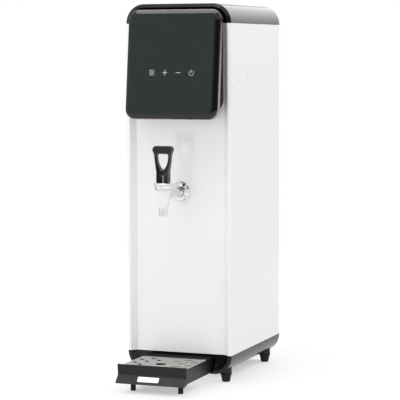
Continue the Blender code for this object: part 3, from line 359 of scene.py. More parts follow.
WHITE = enamel()
BACK_WHITE = enamel("white_enamel_back", (0.780, 0.780, 0.768))
GLOSS = gloss_plastic()
PLINTH = satin_plastic("plinth_black", (0.0026, 0.0028, 0.0030), (0.16, 0.24), 2600.0, 0.000012, 1.40)
SATIN = satin_plastic("satin_black")
TRAY = satin_plastic("tray_black", (0.0030, 0.0042, 0.0052), (0.36, 0.46), 2200.0, 0.000025, 1.42)
# Painted shade: a darker, less reflective copy of the tray black for the shaded deck and basin floor.
DECK_PAINTED_SHADE = satin_plastic("tray_deck_painted_shade", (0.0030, 0.0040, 0.0048), (0.62, 0.74), 1500.0, 0.00006, 1.22)
LEVER = satin_plastic("lever_black", (0.0022, 0.0023, 0.0024), (0.22, 0.30), 3000.0, 0.000010, 1.47)
# Painted shade: a darker, duller copy of the lever black for the lever's shaded left side.
LEVER_PAINTED_SHADE = satin_plastic("lever_painted_shade", (0.0014, 0.0015, 0.0016), (0.30, 0.40), 3000.0, 0.000012, 1.24)
RUBBER = rubber()
GLASS = dark_glass()
ROSE = brushed_metal("rose_metal", (0.42, 0.335, 0.315), (0.20, 0.30), (26.0, 1500.0, 26.0))
STEEL = brushed_metal("grate_steel", (0.47, 0.465, 0.45), (0.34, 0.50), (36.0, 1700.0, 60.0), depth=0.000016)
TANK_STEEL = brushed_metal("tank_steel", (0.55, 0.55, 0.54), (0.30, 0.42), (40.0, 40.0, 1400.0))
CHROME = plated("chrome", (0.80, 0.81, 0.82))
STEM = turned_metal("stem_plate", (0.62, 0.61, 0.52), (0.20, 0.34))
BRASS = turned_metal("brass", (0.66, 0.52, 0.27), (0.22, 0.36))
PIN_STEEL = turned_metal("pin_steel", (0.56, 0.57, 0.58), (0.20, 0.32))
ZINC = spangled()
SCREW_STEEL = plated("screw_plate", (0.60, 0.60, 0.60), (0.18, 0.30))
FOAM = foam()
SILICONE = silicone()
BOARD = circuit_board()
ALUMINIUM = brushed_metal("aluminium", (0.62, 0.63, 0.64), (0.30, 0.42), (60.0, 60.0, 900.0))
NYLON = nylon()
PLATE = plate_film()
INK = print_ink()

LOOK_OF = {
    "base_plate": ZINC, "board_bracket": ZINC, "tank_stand": ZINC, "display_cable": RUBBER, "touch_board": BOARD,
    "main_board": BOARD, "heat_sink": ALUMINIUM, "heater_flange": TANK_STEEL, "heating_element": TANK_STEEL,
    "water_tank": TANK_STEEL, "tank_lid": TANK_STEEL, "level_probe": PIN_STEEL, "temperature_sensor": PIN_STEEL,
    "tank_insulation": FOAM, "cutout_thermostat": NYLON, "terminal_block": NYLON, "valve_coil": SATIN,
    "inlet_hose": SILICONE, "outlet_hose": SILICONE, "drain_hose": SILICONE, "tap_washer": SILICONE,
    "tap_seat_cup": SILICONE, "tap_lock_nut": BRASS,
}
for name, look in LOOK_OF.items():
    slots = nodes[name].data.materials
    if not slots:
        slots.append(look)
    for i in range(len(slots)):
        slots[i] = look


# ---------------------------------------------------------------- mesh helpers
def arc(cx, cy, radius, start, end, steps):
    return [
        (cx + radius * math.cos(math.radians(start + (end - start) * i / steps)),
         cy + radius * math.sin(math.radians(start + (end - start) * i / steps)))
        for i in range(steps + 1)
    ]


def circle(cx, cy, radius, sides=48):
    return arc(cx, cy, radius, 0, 360, sides)[:-1]


def rounded(x0, y0, x1, y1, radius, steps=10):
    return (
        arc(x1 - radius, y0 + radius, radius, -90, 0, steps)
        + arc(x1 - radius, y1 - radius, radius, 0, 90, steps)
        + arc(x0 + radius, y1 - radius, radius, 90, 180, steps)
        + arc(x0 + radius, y0 + radius, radius, 180, 270, steps)
    )


def slot_outline(cx, cy, length, width, angle, steps=8):
    run, r = (length - width) / 2, width / 2
    shape = arc(run, 0, r, -90, 90, steps) + arc(-run, 0, r, 90, 270, steps)
    c, s = math.cos(math.radians(angle)), math.sin(math.radians(angle))
    return [(cx + c * x - s * y, cy + s * x + c * y) for x, y in shape]


def soften(points, radius, steps=4, closed=True):
    """The same outline or profile with its corners rounded, as far as its edges have room."""
    path, count = [], len(points)
    for i, here in enumerate(points):
        if not closed and i in (0, count - 1):
            path.append(tuple(here))
            continue
        b, h, a = Vector(points[i - 1]), Vector(here), Vector(points[(i + 1) % count])
        into, out = h - b, a - h
        room = 0.45 * min(into.length, out.length)
        into.normalize()
        out.normalize()
        turn = into.angle(out)
        r = radius[i] if isinstance(radius, (list, tuple)) else radius
        if r <= 0 or turn < 0.06:
            path.append(tuple(here))
            continue
        reach = min(r * math.tan(turn / 2), room)
        r = reach / math.tan(turn / 2)
        side = 1 if into.x * out.y - into.y * out.x > 0 else -1
        centre = h - into * reach + Vector((-into.y, into.x)) * side * r
        begin = h - into * reach - centre
        first = math.atan2(begin.y, begin.x)
        for k in range(steps + 1):
            angle = first + side * turn * k / steps
            path.append((centre.x + r * math.cos(angle), centre.y + r * math.sin(angle)))
    return path


def strip(path, thickness):
    """The closed outline of sheet that lies to the left of an open path."""
    inner = []
    for i, here in enumerate(path):
        ways = []
        if i > 0:
            ways.append((Vector(here) - Vector(path[i - 1])).normalized())
        if i < len(path) - 1:
            ways.append((Vector(path[i + 1]) - Vector(here)).normalized())
        sides = [Vector((-w.y, w.x)) for w in ways]
        mean = sum(sides, Vector((0, 0))).normalized()
        inner.append(tuple(Vector(here) + mean * thickness / mean.dot(sides[0])))
    return list(path) + inner[::-1]


def flowing(points, per_leg=6):
    """Points along a smooth curve through the given ones, in 2D or 3D."""
    ends = [points[0]] + list(points) + [points[-1]]
    route = []
    for p0, p1, p2, p3 in zip(ends, ends[1:], ends[2:], ends[3:]):
        for i in range(per_leg):
            t = i / per_leg
            route.append(tuple(
                0.5 * (2 * b + (c - a) * t + (2 * a - 5 * b + 4 * c - d) * t * t + (3 * b - a - 3 * c + d) * t ** 3)
                for a, b, c, d in zip(p0, p1, p2, p3)))
    return route + [tuple(points[-1])]


def thinned(points, least=0.000008):
    kept = []
    for p in points:
        if not kept or (Vector(p) - Vector(kept[-1])).length > least:
            kept.append(p)
    if (Vector(kept[0]) - Vector(kept[-1])).length <= least:
        kept.pop()
    return kept


def moved_in(points, by):
    """An outline moved to the left of its direction."""
    shifted, count = [], len(points)
    for i in range(count):
        a, b, c = Vector(points[i - 1]), Vector(points[i]), Vector(points[(i + 1) % count])
        one, two = (b - a).normalized(), (c - b).normalized()
        mean = Vector((-one.y - two.y, one.x + two.x))
        if mean.length < 1e-6:
            shifted.append(tuple(b))
            continue
        mean.normalize()
        shifted.append(tuple(b + mean * by / max(0.35, mean.dot(Vector((-one.y, one.x))))))
    return shifted


def area(points):
    return sum(a[0] * b[1] - b[0] * a[1] for a, b in zip(points, points[1:] + points[:1])) / 2


def slab(outlines, z0, z1, low=0.0, high=0.0, steps=3):
    """A plate between two heights, outlines after the first being holes, with rounded rims."""
    bm = bmesh.new()
    rims = {0: [], 1: []}
    for k, outline in enumerate(outlines):
        points = thinned(outline)
        if (area(points) > 0) != (k == 0):
            points = points[::-1]
        levels = [(low * (1 - math.sin(math.pi / 2 * s / steps)), z0 + low * (1 - math.cos(math.pi / 2 * s / steps)))
                  for s in range(steps + 1)] if low else [(0, z0)]
        levels += [(high * (1 - math.sin(math.pi / 2 * s / steps)), z1 - high * (1 - math.cos(math.pi / 2 * s / steps)))
                   for s in range(steps, -1, -1)] if high else [(0, z1)]
        rows = [[bm.verts.new((x, y, z)) for x, y in moved_in(points, inset)] for inset, z in levels]
        count = len(points)
        for one, two in zip(rows, rows[1:]):
            for i in range(count):
                j = (i + 1) % count
                bm.faces.new((one[i], one[j], two[j], two[i]))
        for end, row in ((0, rows[0]), (1, rows[-1])):
            rims[end] += [bm.edges.get((row[i], row[(i + 1) % count])) for i in range(count)]
    for end, edges in rims.items():
        bmesh.ops.triangle_fill(bm, use_beauty=True, use_dissolve=False, edges=edges, normal=(0, 0, 1 if end else -1))
    bmesh.ops.recalc_face_normals(bm, faces=bm.faces)
    return bm


def skin(rings, ends=True):
    """Skin between closed rings of equally many points."""
    bm = bmesh.new()
    rows = [[bm.verts.new(p) for p in ring] for ring in rings]
    count = len(rings[0])
    for low, high in zip(rows, rows[1:]):
        for i in range(count):
            j = (i + 1) % count
            bm.faces.new((low[i], low[j], high[j], high[i]))
    if ends:
        bm.faces.new(rows[0][::-1])
        bm.faces.new(rows[-1])
    bmesh.ops.recalc_face_normals(bm, faces=bm.faces)
    return bm


def lathe(profile, sides=72, closed=False, radius_of=None):
    """A turned shape about local z. radius_of(r, angle, height) can add ribs, flats or a thread."""
    bm = bmesh.new()
    rows = []
    for r, h in profile:
        if r < 1e-7:
            rows.append([bm.verts.new((0, 0, h))])
            continue
        row = []
        for i in range(sides):
            a = 2 * math.pi * i / sides
            rr = radius_of(r, a, h) if radius_of else r
            row.append(bm.verts.new((rr * math.cos(a), rr * math.sin(a), h)))
        rows.append(row)
    pairs = list(zip(rows, rows[1:])) + ([(rows[-1], rows[0])] if closed else [])
    for one, two in pairs:
        if len(one) == 1 and len(two) == 1:
            continue
        for i in range(sides):
            j = (i + 1) % sides
            corners = []
            for v in (one[i % len(one)], one[j % len(one)], two[j % len(two)], two[i % len(two)]):
                if v not in corners:
                    corners.append(v)
            bm.faces.new(corners)
    bmesh.ops.recalc_face_normals(bm, faces=bm.faces)
    return bm


def sweep(points, radius, sides=24, bore=0.0, bore_depth=0.0):
    """A round bar or hose along a route. With a bore its last end is hollow."""
    bm = bmesh.new()
    route = [Vector(p) for p in points]
    rows, side = [], None
    for i, here in enumerate(route):
        way = (route[min(i + 1, len(route) - 1)] - route[max(i - 1, 0)]).normalized()
        if side is None:
            side = way.orthogonal().normalized()
        side = (side - way * side.dot(way)).normalized()
        other = way.cross(side)
        rows.append([bm.verts.new(here + (side * math.cos(a) + other * math.sin(a)) * radius)
                     for a in (2 * math.pi * k / sides for k in range(sides))])
    if bore:
        for back in (0.0, bore_depth):
            rows.append([bm.verts.new(route[-1] - way * back + (side * math.cos(a) + other * math.sin(a)) * bore)
                         for a in (2 * math.pi * k / sides for k in range(sides))])
    for one, two in zip(rows, rows[1:]):
        for i in range(sides):
            j = (i + 1) % sides
            bm.faces.new((one[i], one[j], two[j], two[i]))
    bm.faces.new(rows[0][::-1])
    bm.faces.new(rows[-1])
    bmesh.ops.recalc_face_normals(bm, faces=bm.faces)
    return bm


def solid(name, bm, turn=UP, at=(0, 0, 0)):
    bm.transform(Matrix.Translation(at) @ turn.to_4x4())
    mesh = bpy.data.meshes.new(name)
    bm.to_mesh(mesh)
    bm.free()
    obj = bpy.data.objects.new(name, mesh)
    scene.collection.objects.link(obj)
    return obj


def cube(name, low, high):
    bm = bmesh.new()
    bmesh.ops.create_cube(bm, size=1.0)
    bmesh.ops.scale(bm, vec=[b - a for a, b in zip(low, high)], verts=bm.verts)
    return solid(name, bm, UP, [(a + b) / 2 for a, b in zip(low, high)])


def rod(name, radius, start, end, sides=48, end_radius=None):
    start, end = Vector(start), Vector(end)
    bm = bmesh.new()
    bmesh.ops.create_cone(bm, cap_ends=True, segments=sides, radius1=radius,
                          radius2=radius if end_radius is None else end_radius, depth=(end - start).length)
    return solid(name, bm, Vector((0, 0, 1)).rotation_difference(end - start).to_matrix(), (start + end) / 2)


def settle(obj):
    """Replaces an object's mesh with what its modifiers make of it."""
    bpy.context.view_layer.update()
    graph = bpy.context.evaluated_depsgraph_get()
    made = bpy.data.meshes.new_from_object(obj.evaluated_get(graph))
    obj.modifiers.clear()
    old = obj.data
    obj.data = made
    bpy.data.meshes.remove(old)
    return obj


def combine(obj, operation, *others):
    for i, other in enumerate(others):
        step = obj.modifiers.new(f"step_{i}", "BOOLEAN")
        step.operation, step.solver, step.object = operation, "EXACT", other
    settle(obj)
    for other in others:
        mesh = other.data
        bpy.data.objects.remove(other, do_unlink=True)
        bpy.data.meshes.remove(mesh)
    return obj


def cut(obj, *others):
    return combine(obj, "DIFFERENCE", *others)


def join(obj, *others):
    return combine(obj, "UNION", *others)


def eased(obj, width, segments=3, degrees=35):
    """Rounds an object's sharp edges."""
    step = obj.modifiers.new("eased", "BEVEL")
    step.width, step.segments, step.limit_method = width, segments, "ANGLE"
    step.angle_limit = math.radians(degrees)
    step.use_clamp_overlap = True
    return settle(obj)


def piece(obj, body, stands_for, look, sharp=38):
    """Cleans a piece's mesh, shades it, and hangs it on its body."""
    bm = bmesh.new()
    bm.from_mesh(obj.data)
    bmesh.ops.remove_doubles(bm, verts=bm.verts, dist=0.000002)
    bmesh.ops.dissolve_degenerate(bm, dist=0.000001, edges=bm.edges)
    loose = [v for v in bm.verts if not v.link_faces]
    bmesh.ops.delete(bm, geom=loose, context="VERTS")
    bmesh.ops.recalc_face_normals(bm, faces=bm.faces)
    bm.to_mesh(obj.data)
    bm.free()
    obj.data.materials.clear()
    obj.data.materials.append(look)
    obj.data.shade_smooth()
    obj.data.set_sharp_from_angle(angle=math.radians(sharp))
    step = obj.modifiers.new("even_shading", "WEIGHTED_NORMAL")
    step.keep_sharp, step.weight = True, 90
    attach(obj, body)
    if stands_for:
        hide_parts(*([stands_for] if isinstance(stands_for, str) else stands_for))
    return obj


def arch(inset, open_edge, centre_z, up=1, steps=28):
    r, x = SHOULDER_R - inset, HALF_W - SHOULDER_R
    right_arc = [(x + r * math.cos(a), centre_z + up * r * math.sin(a)) for a in
                 (math.pi / 2 * i / steps for i in range(steps + 1))]
    left_arc = [(-a, b) for a, b in right_arc[::-1]]
    shape = [(HALF_W - inset, open_edge)] + right_arc + left_arc + [(-HALF_W + inset, open_edge)]
    return shape if up > 0 else shape[::-1]


def arch_solid(name, edge, centre_z, up, rear_ease=0.0012):
    """The cap's or plinth's outer block: its front rises to the frame's ridge, and its rims are eased."""
    rim = soften([(CREST_IN + 0.0010, CREST), (CREST_IN, CREST), (0.0, FRONT), (0.0, REAR), (rear_ease + 0.0010, REAR)],
                 [0, 0.0010, 0.0007, rear_ease, 0], 5, closed=False)
    return solid(name, skin([[(x, y, z) for x, z in arch(inset, edge, centre_z, up)] for inset, y in rim]))


def prism_y(name, outline, y0, y1):
    """An outline in x and z, extruded along y."""
    return solid(name, skin([[(x, y, z) for x, z in outline] for y in (y0, y1)]))


# ---------------------------------------------------------------- column
FLANGE_Y = REAR - SHEET - GAP
wrap_path = soften(
    [(-HALF_W + 0.0150, FLANGE_Y), (-HALF_W, FLANGE_Y), (-HALF_W, FRONT), (-HALF_W + CREST_IN, CREST), (-HALF_W + DISH, PANEL),
     (HALF_W - DISH, PANEL), (HALF_W - CREST_IN, CREST), (HALF_W, FRONT), (HALF_W, FLANGE_Y), (HALF_W - 0.0150, FLANGE_Y)],
    [0, 0.0020, 0.0022, 0.0014, 0.0030, 0.0030, 0.0014, 0.0022, 0.0020, 0], 8, closed=False)
column = solid("column_shell", slab([strip(wrap_path, SHEET)], BODY_LOW, BODY_TOP, 0.0002, 0.0002, 2))
cut(
    column,
    rod("hole", 0.0082, (0, PANEL - 0.01, TAP_Z), (0, PANEL + 0.01, TAP_Z)),
    rod("hole", 0.0070, (0.03, PANEL - 0.01, 0.5750), (0.03, PANEL + 0.01, 0.5750)),
    *[rod("hole", 0.0023, (x, FLANGE_Y - 0.01, z), (x, FLANGE_Y + 0.01, z), 20) for x, z in SCREWS],
)
piece(column, "boiler", "body_wrap", WHITE, 30)

vents = [slot_outline(sx * 0.034, z, 0.052, 0.0042, 0, 6) for z in
         (0.4600, 0.4740, 0.4880, 0.5020, 0.5160, 0.5300) for sx in (-1, 1)]
back = solid(
    "back_sheet",
    slab([rounded(-0.0985, BODY_LOW + 0.0020, 0.0985, BODY_TOP - 0.0020, 0.003, 6)] + vents
         + [circle(x, z, 0.0024, 20) for x, z in SCREWS]
         + [circle(*INLET, 0.0136), circle(*DRAIN, 0.0083, 36), circle(*VENT, 0.0055, 28), circle(*GLAND, 0.0079, 36),
            rounded(SWITCH[0] - 0.0065, SWITCH[1] - 0.0098, SWITCH[0] + 0.0065, SWITCH[1] + 0.0098, 0.0003, 2)],
         -SHEET / 2, SHEET / 2, 0.0002, 0.00035, 3),
    FACING, (0, REAR - SHEET / 2, 0))
# FACING turns local z to -Y, so the outward rim is the low one: mirror the plate in its own plane.
for vertex in back.data.vertices:
    vertex.co.y = 2 * (REAR - SHEET / 2) - vertex.co.y
back.data.flip_normals()
piece(back, "boiler", "rear_panel", BACK_WHITE, 30)


def screw(name, x, z, node):
    """Pan-head screw with a cross recess."""
    head = soften([(0, REAR + 0.0027), (0.0024, REAR + 0.00255), (0.0037, REAR + 0.0015), (0.0040, REAR + 0.0003),
                   (0.0019, REAR + 0.0003), (0.0019, REAR - 0.0080), (0, REAR - 0.0092)], 0.0006, 3, closed=False)
    made = solid(name, lathe(head, 40), ALONG_Y, (x, 0, z))
    arms = []
    for long_way, cross_way in (((0.0019, 0.00042), (0.0012, 0.00020)), ((0.00042, 0.0019), (0.00020, 0.0012))):
        outer = [(x + a, REAR + 0.0032, z + b) for a, b in
                 [(-long_way[0], -long_way[1]), (long_way[0], -long_way[1]), (long_way[0], long_way[1]), (-long_way[0], long_way[1])]]
        sx, sz = (cross_way[0], cross_way[1]) if long_way[0] > long_way[1] else (0.00020, 0.0012)
        inner = [(x + a, REAR + 0.0008, z + b) for a, b in [(-sx, -sz), (sx, -sz), (sx, sz), (-sx, sz)]]
        arms.append(solid("recess", skin([outer, inner])))
    cut(made, *arms)
    return piece(made, "boiler", node, SCREW_STEEL, 40)


for i, (x, z) in enumerate(SCREWS):
    screw(f"back_screw_{i + 1}", x, z, f"rear_screw_{i + 1}")

# ---------------------------------------------------------------- cap and plinth
CAP_LOW, PLINTH_TOP = BODY_TOP + GAP, BODY_LOW - GAP
CAP_C, PLINTH_C = CAP_TOP - SHOULDER_R, PLINTH_LOW + SHOULDER_R


def dish_cutter(edge, centre_z, up):
    """The slope from the ridge down to the recessed front, with a small round at its foot."""
    start = CREST_IN + 0.0004
    slope = (DISH - start) / (PANEL - CREST)
    levels = soften([(start - slope * 0.0020, CREST - 0.0020), (DISH, PANEL), (DISH + 0.0030, PANEL)], [0, 0.0016, 0], 6, closed=False)
    return solid("dish", skin([[(x, y, z) for x, z in arch(inset, edge, centre_z, up)] for inset, y in levels]))


cap = arch_solid("cap_shell", CAP_LOW, CAP_C, 1)
cut(cap, prism_y("hollow", arch(MOULD, CAP_LOW - 0.01, CAP_C), PANEL + MOULD, REAR - MOULD), dish_cutter(CAP_LOW - 0.01, CAP_C, 1))
piece(cap, "boiler", "top_cap", GLOSS, 28)

plinth = arch_solid("plinth_shell", PLINTH_TOP, PLINTH_C, -1)
RIB, EDGE = 0.0685, HALF_W - MOULD


def pocket(x0, x1, y0, y1):
    r, c = SHOULDER_R - MOULD, HALF_W - SHOULDER_R
    curved = [c + r * math.sin(math.pi / 2 * i / 14) for i in range(15)]
    across = {x0, x1} | {s * x for x in curved for s in (-1, 1) if x0 < s * x < x1}
    floor = [(x, PLINTH_C - math.sqrt(max(0.0, r * r - max(0.0, abs(x) - c) ** 2))) for x in sorted(across)]
    return prism_y("pocket", floor + [(x1, 0.0600), (x0, 0.0600)], y0, y1)


bosses = [(sx * FOOT_X, y) for sx in (-1, 1) for y in FOOT_Y]
cut(
    plinth,
    dish_cutter(PLINTH_TOP + 0.01, PLINTH_C, -1),
    pocket(RIB, EDGE, PANEL + MOULD, 0.0130),
    pocket(-EDGE, -RIB, PANEL + MOULD, 0.0130),
    pocket(-EDGE, EDGE, 0.0156, REAR - MOULD),
    cube("tunnel", (-0.0655, -0.10, 0.0195), (0.0655, 0.0128, 0.0600)),
    cube("tunnel_floor", (-0.0590, -0.10, 0.0000), (0.0590, 0.0128, 0.0200)),
)
join(plinth, cube("mouth_beam", (-0.0670, -0.0699, 0.0470), (0.0670, -0.0605, 0.0510)),
     *[rod("boss", 0.0106, (x, y, 0.0165), (x, y, 0.0320), 40) for x, y in bosses])
cut(plinth, *[rod("bore", 0.0028, (x, y, 0.0100), (x, y, 0.0400), 20) for x, y in bosses])
piece(plinth, "boiler", "base_plinth", PLINTH, 28)

foot_profile = soften(
    [(0, 0.0290), (0.0025, 0.0290), (0.0025, 0.0162), (0.0104, 0.0162), (0.0104, 0.0124), (0.0092, 0.0116),
     (0.0084, 0.0066), (0.0081, 0.0062), (0.0081, 0.0056), (0.0072, 0.0008), (0.0066, 0.0), (0.0056, 0.0), (0.0052, 0.0007),
     (0.0042, 0.0007), (0.0038, 0.0), (0.0024, 0.0), (0.0020, 0.0010), (0, 0.0010)], 0.0005, 3, closed=False)
for side, sx in (("left", -1), ("right", 1)):
    for end, y in (("front", FOOT_Y[0]), ("rear", FOOT_Y[1])):
        piece(solid(f"foot_pad_{end}_{side}", lathe(foot_profile, 56), UP, (sx * FOOT_X, y, 0)),
              "boiler", f"foot_{end}_{side}", RUBBER, 40)


# ---------------------------------------------------------------- display
def on_display(u, v, n):
    return (DISP_C[0] + u, DISP_C[1] + v * LEAN_S - n * LEAN_C, DISP_C[2] + v * LEAN_C + n * LEAN_S)


def display_ring(hw, hh, r, n, steps=14):
    return [on_display(u, v, n) for u, v in rounded(-hw, -hh, hw, hh, r, steps)]


def panel_ring(hw, z0, z1, r, y, steps=14):
    return [(x, y, z) for x, z in rounded(-hw, z0, hw, z1, r, steps)]


PANE_HW, PANE_HH = DISP_HW - 0.0005, DISP_HH - 0.0005
rings = []
for k in range(19):
    t = math.pi / 2 * k / 18
    slope = 0.0058 * math.cos(t) + 0.0016 * (1 - math.sin(t))
    rings.append(display_ring(PANE_HW - 0.0122 * (1 - math.sin(t)), PANE_HH - slope,
                              DISP_R - 0.0062 * (1 - math.sin(t)), -0.0036 * (1 - math.cos(t))))
rings += [display_ring(PANE_HW, PANE_HH, DISP_R, n) for n in (-0.0038, -0.0042)]
rings += [display_ring(PANE_HW - 0.0003, PANE_HH - 0.0003, DISP_R, -0.0045)]
piece(solid("screen_glass", skin(rings)), "boiler", "display_glass", GLASS, 40)

# Frame behind the glass, a little wider than it: rose band, a shadow groove, then a thin polished bead.
BEZEL_N0, BEZEL_N1 = -0.0048, -0.0158
profile = [(0.0060, BEZEL_N0), (0.0001, BEZEL_N0), (-0.0003, BEZEL_N0 - 0.0004), (-0.0003, -0.0138), (0.0003, -0.0142),
           (0.0003, -0.0146), (-0.0001, -0.0149), (-0.0001, -0.0155), (0.0002, BEZEL_N1), (0.0060, BEZEL_N1)]
profile = soften(profile, 0.0003, 3)
frame_rings = [display_ring(DISP_HW - inset, DISP_HH - inset, DISP_R - min(inset, 0.0060) * 0.98, n) for inset, n in profile]
bm = skin(frame_rings + [frame_rings[0]], ends=False)
bmesh.ops.remove_doubles(bm, verts=bm.verts, dist=0.000001)
piece(solid("screen_frame", bm), "boiler", "display_bezel", ROSE, 45)

H0 = BEZEL_N1 - GAP
outer = [display_ring(0.0830 - 0.0008 * (1 - math.sin(t)), DISP_HH - 0.0010 - 0.0008 * (1 - math.sin(t)),
                      DISP_R - 0.0004, H0 - 0.0008 * (1 - math.cos(t))) for t in (math.pi / 2 * k / 4 for k in range(5))]
front_ring, back_ring = outer[-1], panel_ring(0.0828, 0.4895, 0.6605, 0.0160, PANEL - GAP)
outer += [[tuple(a + (b - a) * s for a, b in zip(p, q)) for p, q in zip(front_ring, back_ring)] for s in (0.33, 0.66)]
outer.append(back_ring)
housing = solid("screen_housing", skin(outer))
cut(
    housing,
    solid("hollow", skin([
        display_ring(0.0792, DISP_HH - 0.0050, DISP_R - 0.0040, BEZEL_N1 + 0.0020),
        display_ring(0.0792, DISP_HH - 0.0050, DISP_R - 0.0040, BEZEL_N1 - GAP - 0.0002),
        panel_ring(0.0790, 0.4935, 0.6565, 0.0130, PANEL - 0.0028),
    ])),
    rod("cable_hole", 0.0070, (0.03, PANEL - 0.02, 0.5750), (0.03, PANEL + 0.01, 0.5750)),
)
piece(housing, "boiler", "display_housing", GLOSS, 30)

# Key symbols: four small rings, plus, minus and power.
KEY_U, KEY_V = (-0.0377, -0.0127, 0.0122, 0.0373), -0.0151
symbols = []
for du in (-0.00238, 0.00238):
    for dv in (-0.0027, 0.0027):
        symbols.append([circle(KEY_U[0] + du, KEY_V + dv, 0.00215, 36), circle(KEY_U[0] + du, KEY_V + dv, 0.00182, 32)])
u, t, h, tall = KEY_U[1], 0.00030, 0.0043, 0.0047
symbols.append([[(u - t, KEY_V - tall), (u + t, KEY_V - tall), (u + t, KEY_V - t), (u + h, KEY_V - t),
                 (u + h, KEY_V + t), (u + t, KEY_V + t), (u + t, KEY_V + tall), (u - t, KEY_V + tall),
                 (u - t, KEY_V + t), (u - h, KEY_V + t), (u - h, KEY_V - t), (u - t, KEY_V - t)]])
symbols.append([rounded(KEY_U[2] - 0.0043, KEY_V - t, KEY_U[2] + 0.0043, KEY_V + t, 0.0002, 3)])
symbols.append([arc(KEY_U[3], KEY_V - 0.0003, 0.0047, 128, 412, 40) + arc(KEY_U[3], KEY_V - 0.0003, 0.0043, 412, 128, 36)])
symbols.append([rounded(KEY_U[3] - t, KEY_V - 0.0001, KEY_U[3] + t, KEY_V + 0.0050, 0.0003, 3)])
icons = None
for outlines in symbols:
    made = slab(outlines, 0.00002, 0.00010)
    if icons is None:
        icons = made
    else:
        mesh = bpy.data.meshes.new("join")
        made.to_mesh(mesh)
        icons.from_mesh(mesh)
        made.free()
        bpy.data.meshes.remove(mesh)
piece(solid("key_symbols", icons, LEAN, on_display(0, 0, 0)), "boiler", None, INK, 40)

# ---------------------------------------------------------------- drip tray
tray = cube("tray_shell", (-BASIN_HW, TRAY_FRONT + 0.0030, TRAY_LOW), (BASIN_HW, TRAY_REAR, 0.0446))
side_shape = [(TRAY_FRONT, TRAY_TOP), (CREASE_Y, CREASE_Z), (LIP_Y, LIP_Z), (LIP_Y + 0.0012, LIP_Z - 0.0014),
              (-0.2050, TRAY_LOW), (-0.2050, TRAY_TOP)][::-1]
join(
    tray,
    solid("front_wall", skin([[(x, y, z) for y, z in side_shape] for x in (-TRAY_HW, TRAY_HW)])),
    cube("deck", (-BASIN_HW, -0.1100, 0.0430), (BASIN_HW, TRAY_REAR, GRATE_Z)),
    cube("runners", (-TRAY_HW, RUNNER_Y, TRAY_LOW), (TRAY_HW, TRAY_REAR, 0.0420)),
)
cut(
    tray,
    cube("basin", (-0.0585, -0.2045, 0.0223), (0.0585, -0.1075, 0.0700)),
    cube("recess", (-0.0619, -0.2077, 0.0446), (0.0619, -0.1024, 0.0700)),
    cube("under", (-0.0590, -0.1000, 0.0000), (0.0590, TRAY_REAR - 0.0025, 0.0440)),
)
eased(tray, 0.00045, 3)
piece(tray, "drip_tray", "drip_tray", TRAY, 40)
tray.data.materials.append(DECK_PAINTED_SHADE)
for face in tray.data.polygons:  # painted shade: the deck's top, in the mouth under the body, and the basin's floor, under the grate, get a darker, duller, less reflective black; their coarser grain is real
    deck_top = face.center.y > -0.1030 and face.center.z > GRATE_Z - 0.0006
    if face.normal.z > 0.9 and (deck_top or 0.0200 < face.center.z < 0.0235):
        face.material_index = 1

holes = [circle(0, -0.1680, 0.0096, 64)]
for sx in (-1, 1):
    for x, rows in ((0.0170, (-0.1350, -0.1975)), (0.0340, (-0.1190, -0.1505, -0.1820)), (0.0500, (-0.1345, -0.1660, -0.1960))):
        holes += [slot_outline(sx * x, y, 0.0155 if x > 0.04 else 0.0175, 0.0050, sx * 45, 8) for y in rows]
piece(
    solid("tray_grate", slab([rounded(-GRATE_HW, GRATE_Y0, GRATE_HW, GRATE_Y1, 0.0020, 6)] + holes,
                             GRATE_Z - GRATE_T, GRATE_Z, 0.0011, 0.00025, 4)),
    "drip_grate", "drip_grate", STEEL, 40)

for side, sx in (("left", -1), ("right", 1)):
    piece(
        solid(f"tray_pad_{side}", lathe(soften(
            [(0, TRAY_LOW - GAP), (0.0050, TRAY_LOW - GAP), (0.0049, 0.0122), (0.0046, 0.0118), (0.0047, 0.0006), (0.0041, 0.0),
             (0.0028, 0.0), (0.0024, 0.0006), (0, 0.0006)], 0.0004, 3, closed=False), 44), UP, (sx * TRAY_FOOT_X, TRAY_FOOT_Y, 0)),
        "drip_tray", f"tray_foot_{side}", RUBBER, 40)

slant = Vector((0, LIP_Y - CREASE_Y, LIP_Z - CREASE_Z)).normalized()
face = Vector((0, slant.z, -slant.y))
plate_at = Vector((-0.0049, CREASE_Y, CREASE_Z)) + slant * 0.0079 + face * 0.0006
piece(
    solid("tray_plate", slab([rounded(-0.0199, -0.00525, 0.0199, 0.00525, 0.0020, 8)], -0.0003, 0.0003, 0.0, 0.00025, 3),
          Matrix(((1, 0, 0), (0, -slant.y, face.y), (0, -slant.z, face.z))), plate_at),
    "drip_tray", "tray_label_plate", PLATE, 40)

# ---------------------------------------------------------------- tap
AT_TAP = (0, TAP_Y, 0)
casting = solid("tap_casting", lathe(soften(
    [(0, 0.3530), (0.0152, 0.3530), (0.0152, 0.3522), (0.0142, 0.3495), (0.0085, 0.3203), (0.0085, 0.3188), (0.0081, 0.3180),
     (0.0081, 0.3060), (0, 0.3060)],
    [0, 0.0004, 0.0006, 0.0020, 0.0010, 0.0005, 0.0005, 0.0005, 0], 5, closed=False), 96), UP, AT_TAP)
join(casting, solid("arm", lathe(soften(
    [(0, -0.0365), (0.0055, -0.0365), (0.0062, -0.0400), (0.0062, -0.0500), (0.0078, -0.0500), (0.0078, -0.0770),
     (0.0087, -0.0775), (0.0087, TAP_Y + 0.0030), (0, TAP_Y + 0.0030)], 0.0004, 3, closed=False), 72), ALONG_Y, (0, 0, TAP_Z)))
cut(
    casting,
    solid("chamber", lathe([(0, 0.3600), (0.0098, 0.3600), (0.0098, 0.3375), (0.0052, 0.3318), (0.0052, 0.3000), (0, 0.3000)], 64),
          UP, AT_TAP),
    rod("arm_bore", 0.0043, (0, TAP_Y, TAP_Z), (0, -0.0300, TAP_Z)),
)
piece(casting, "boiler", "tap_body", CHROME, 30)

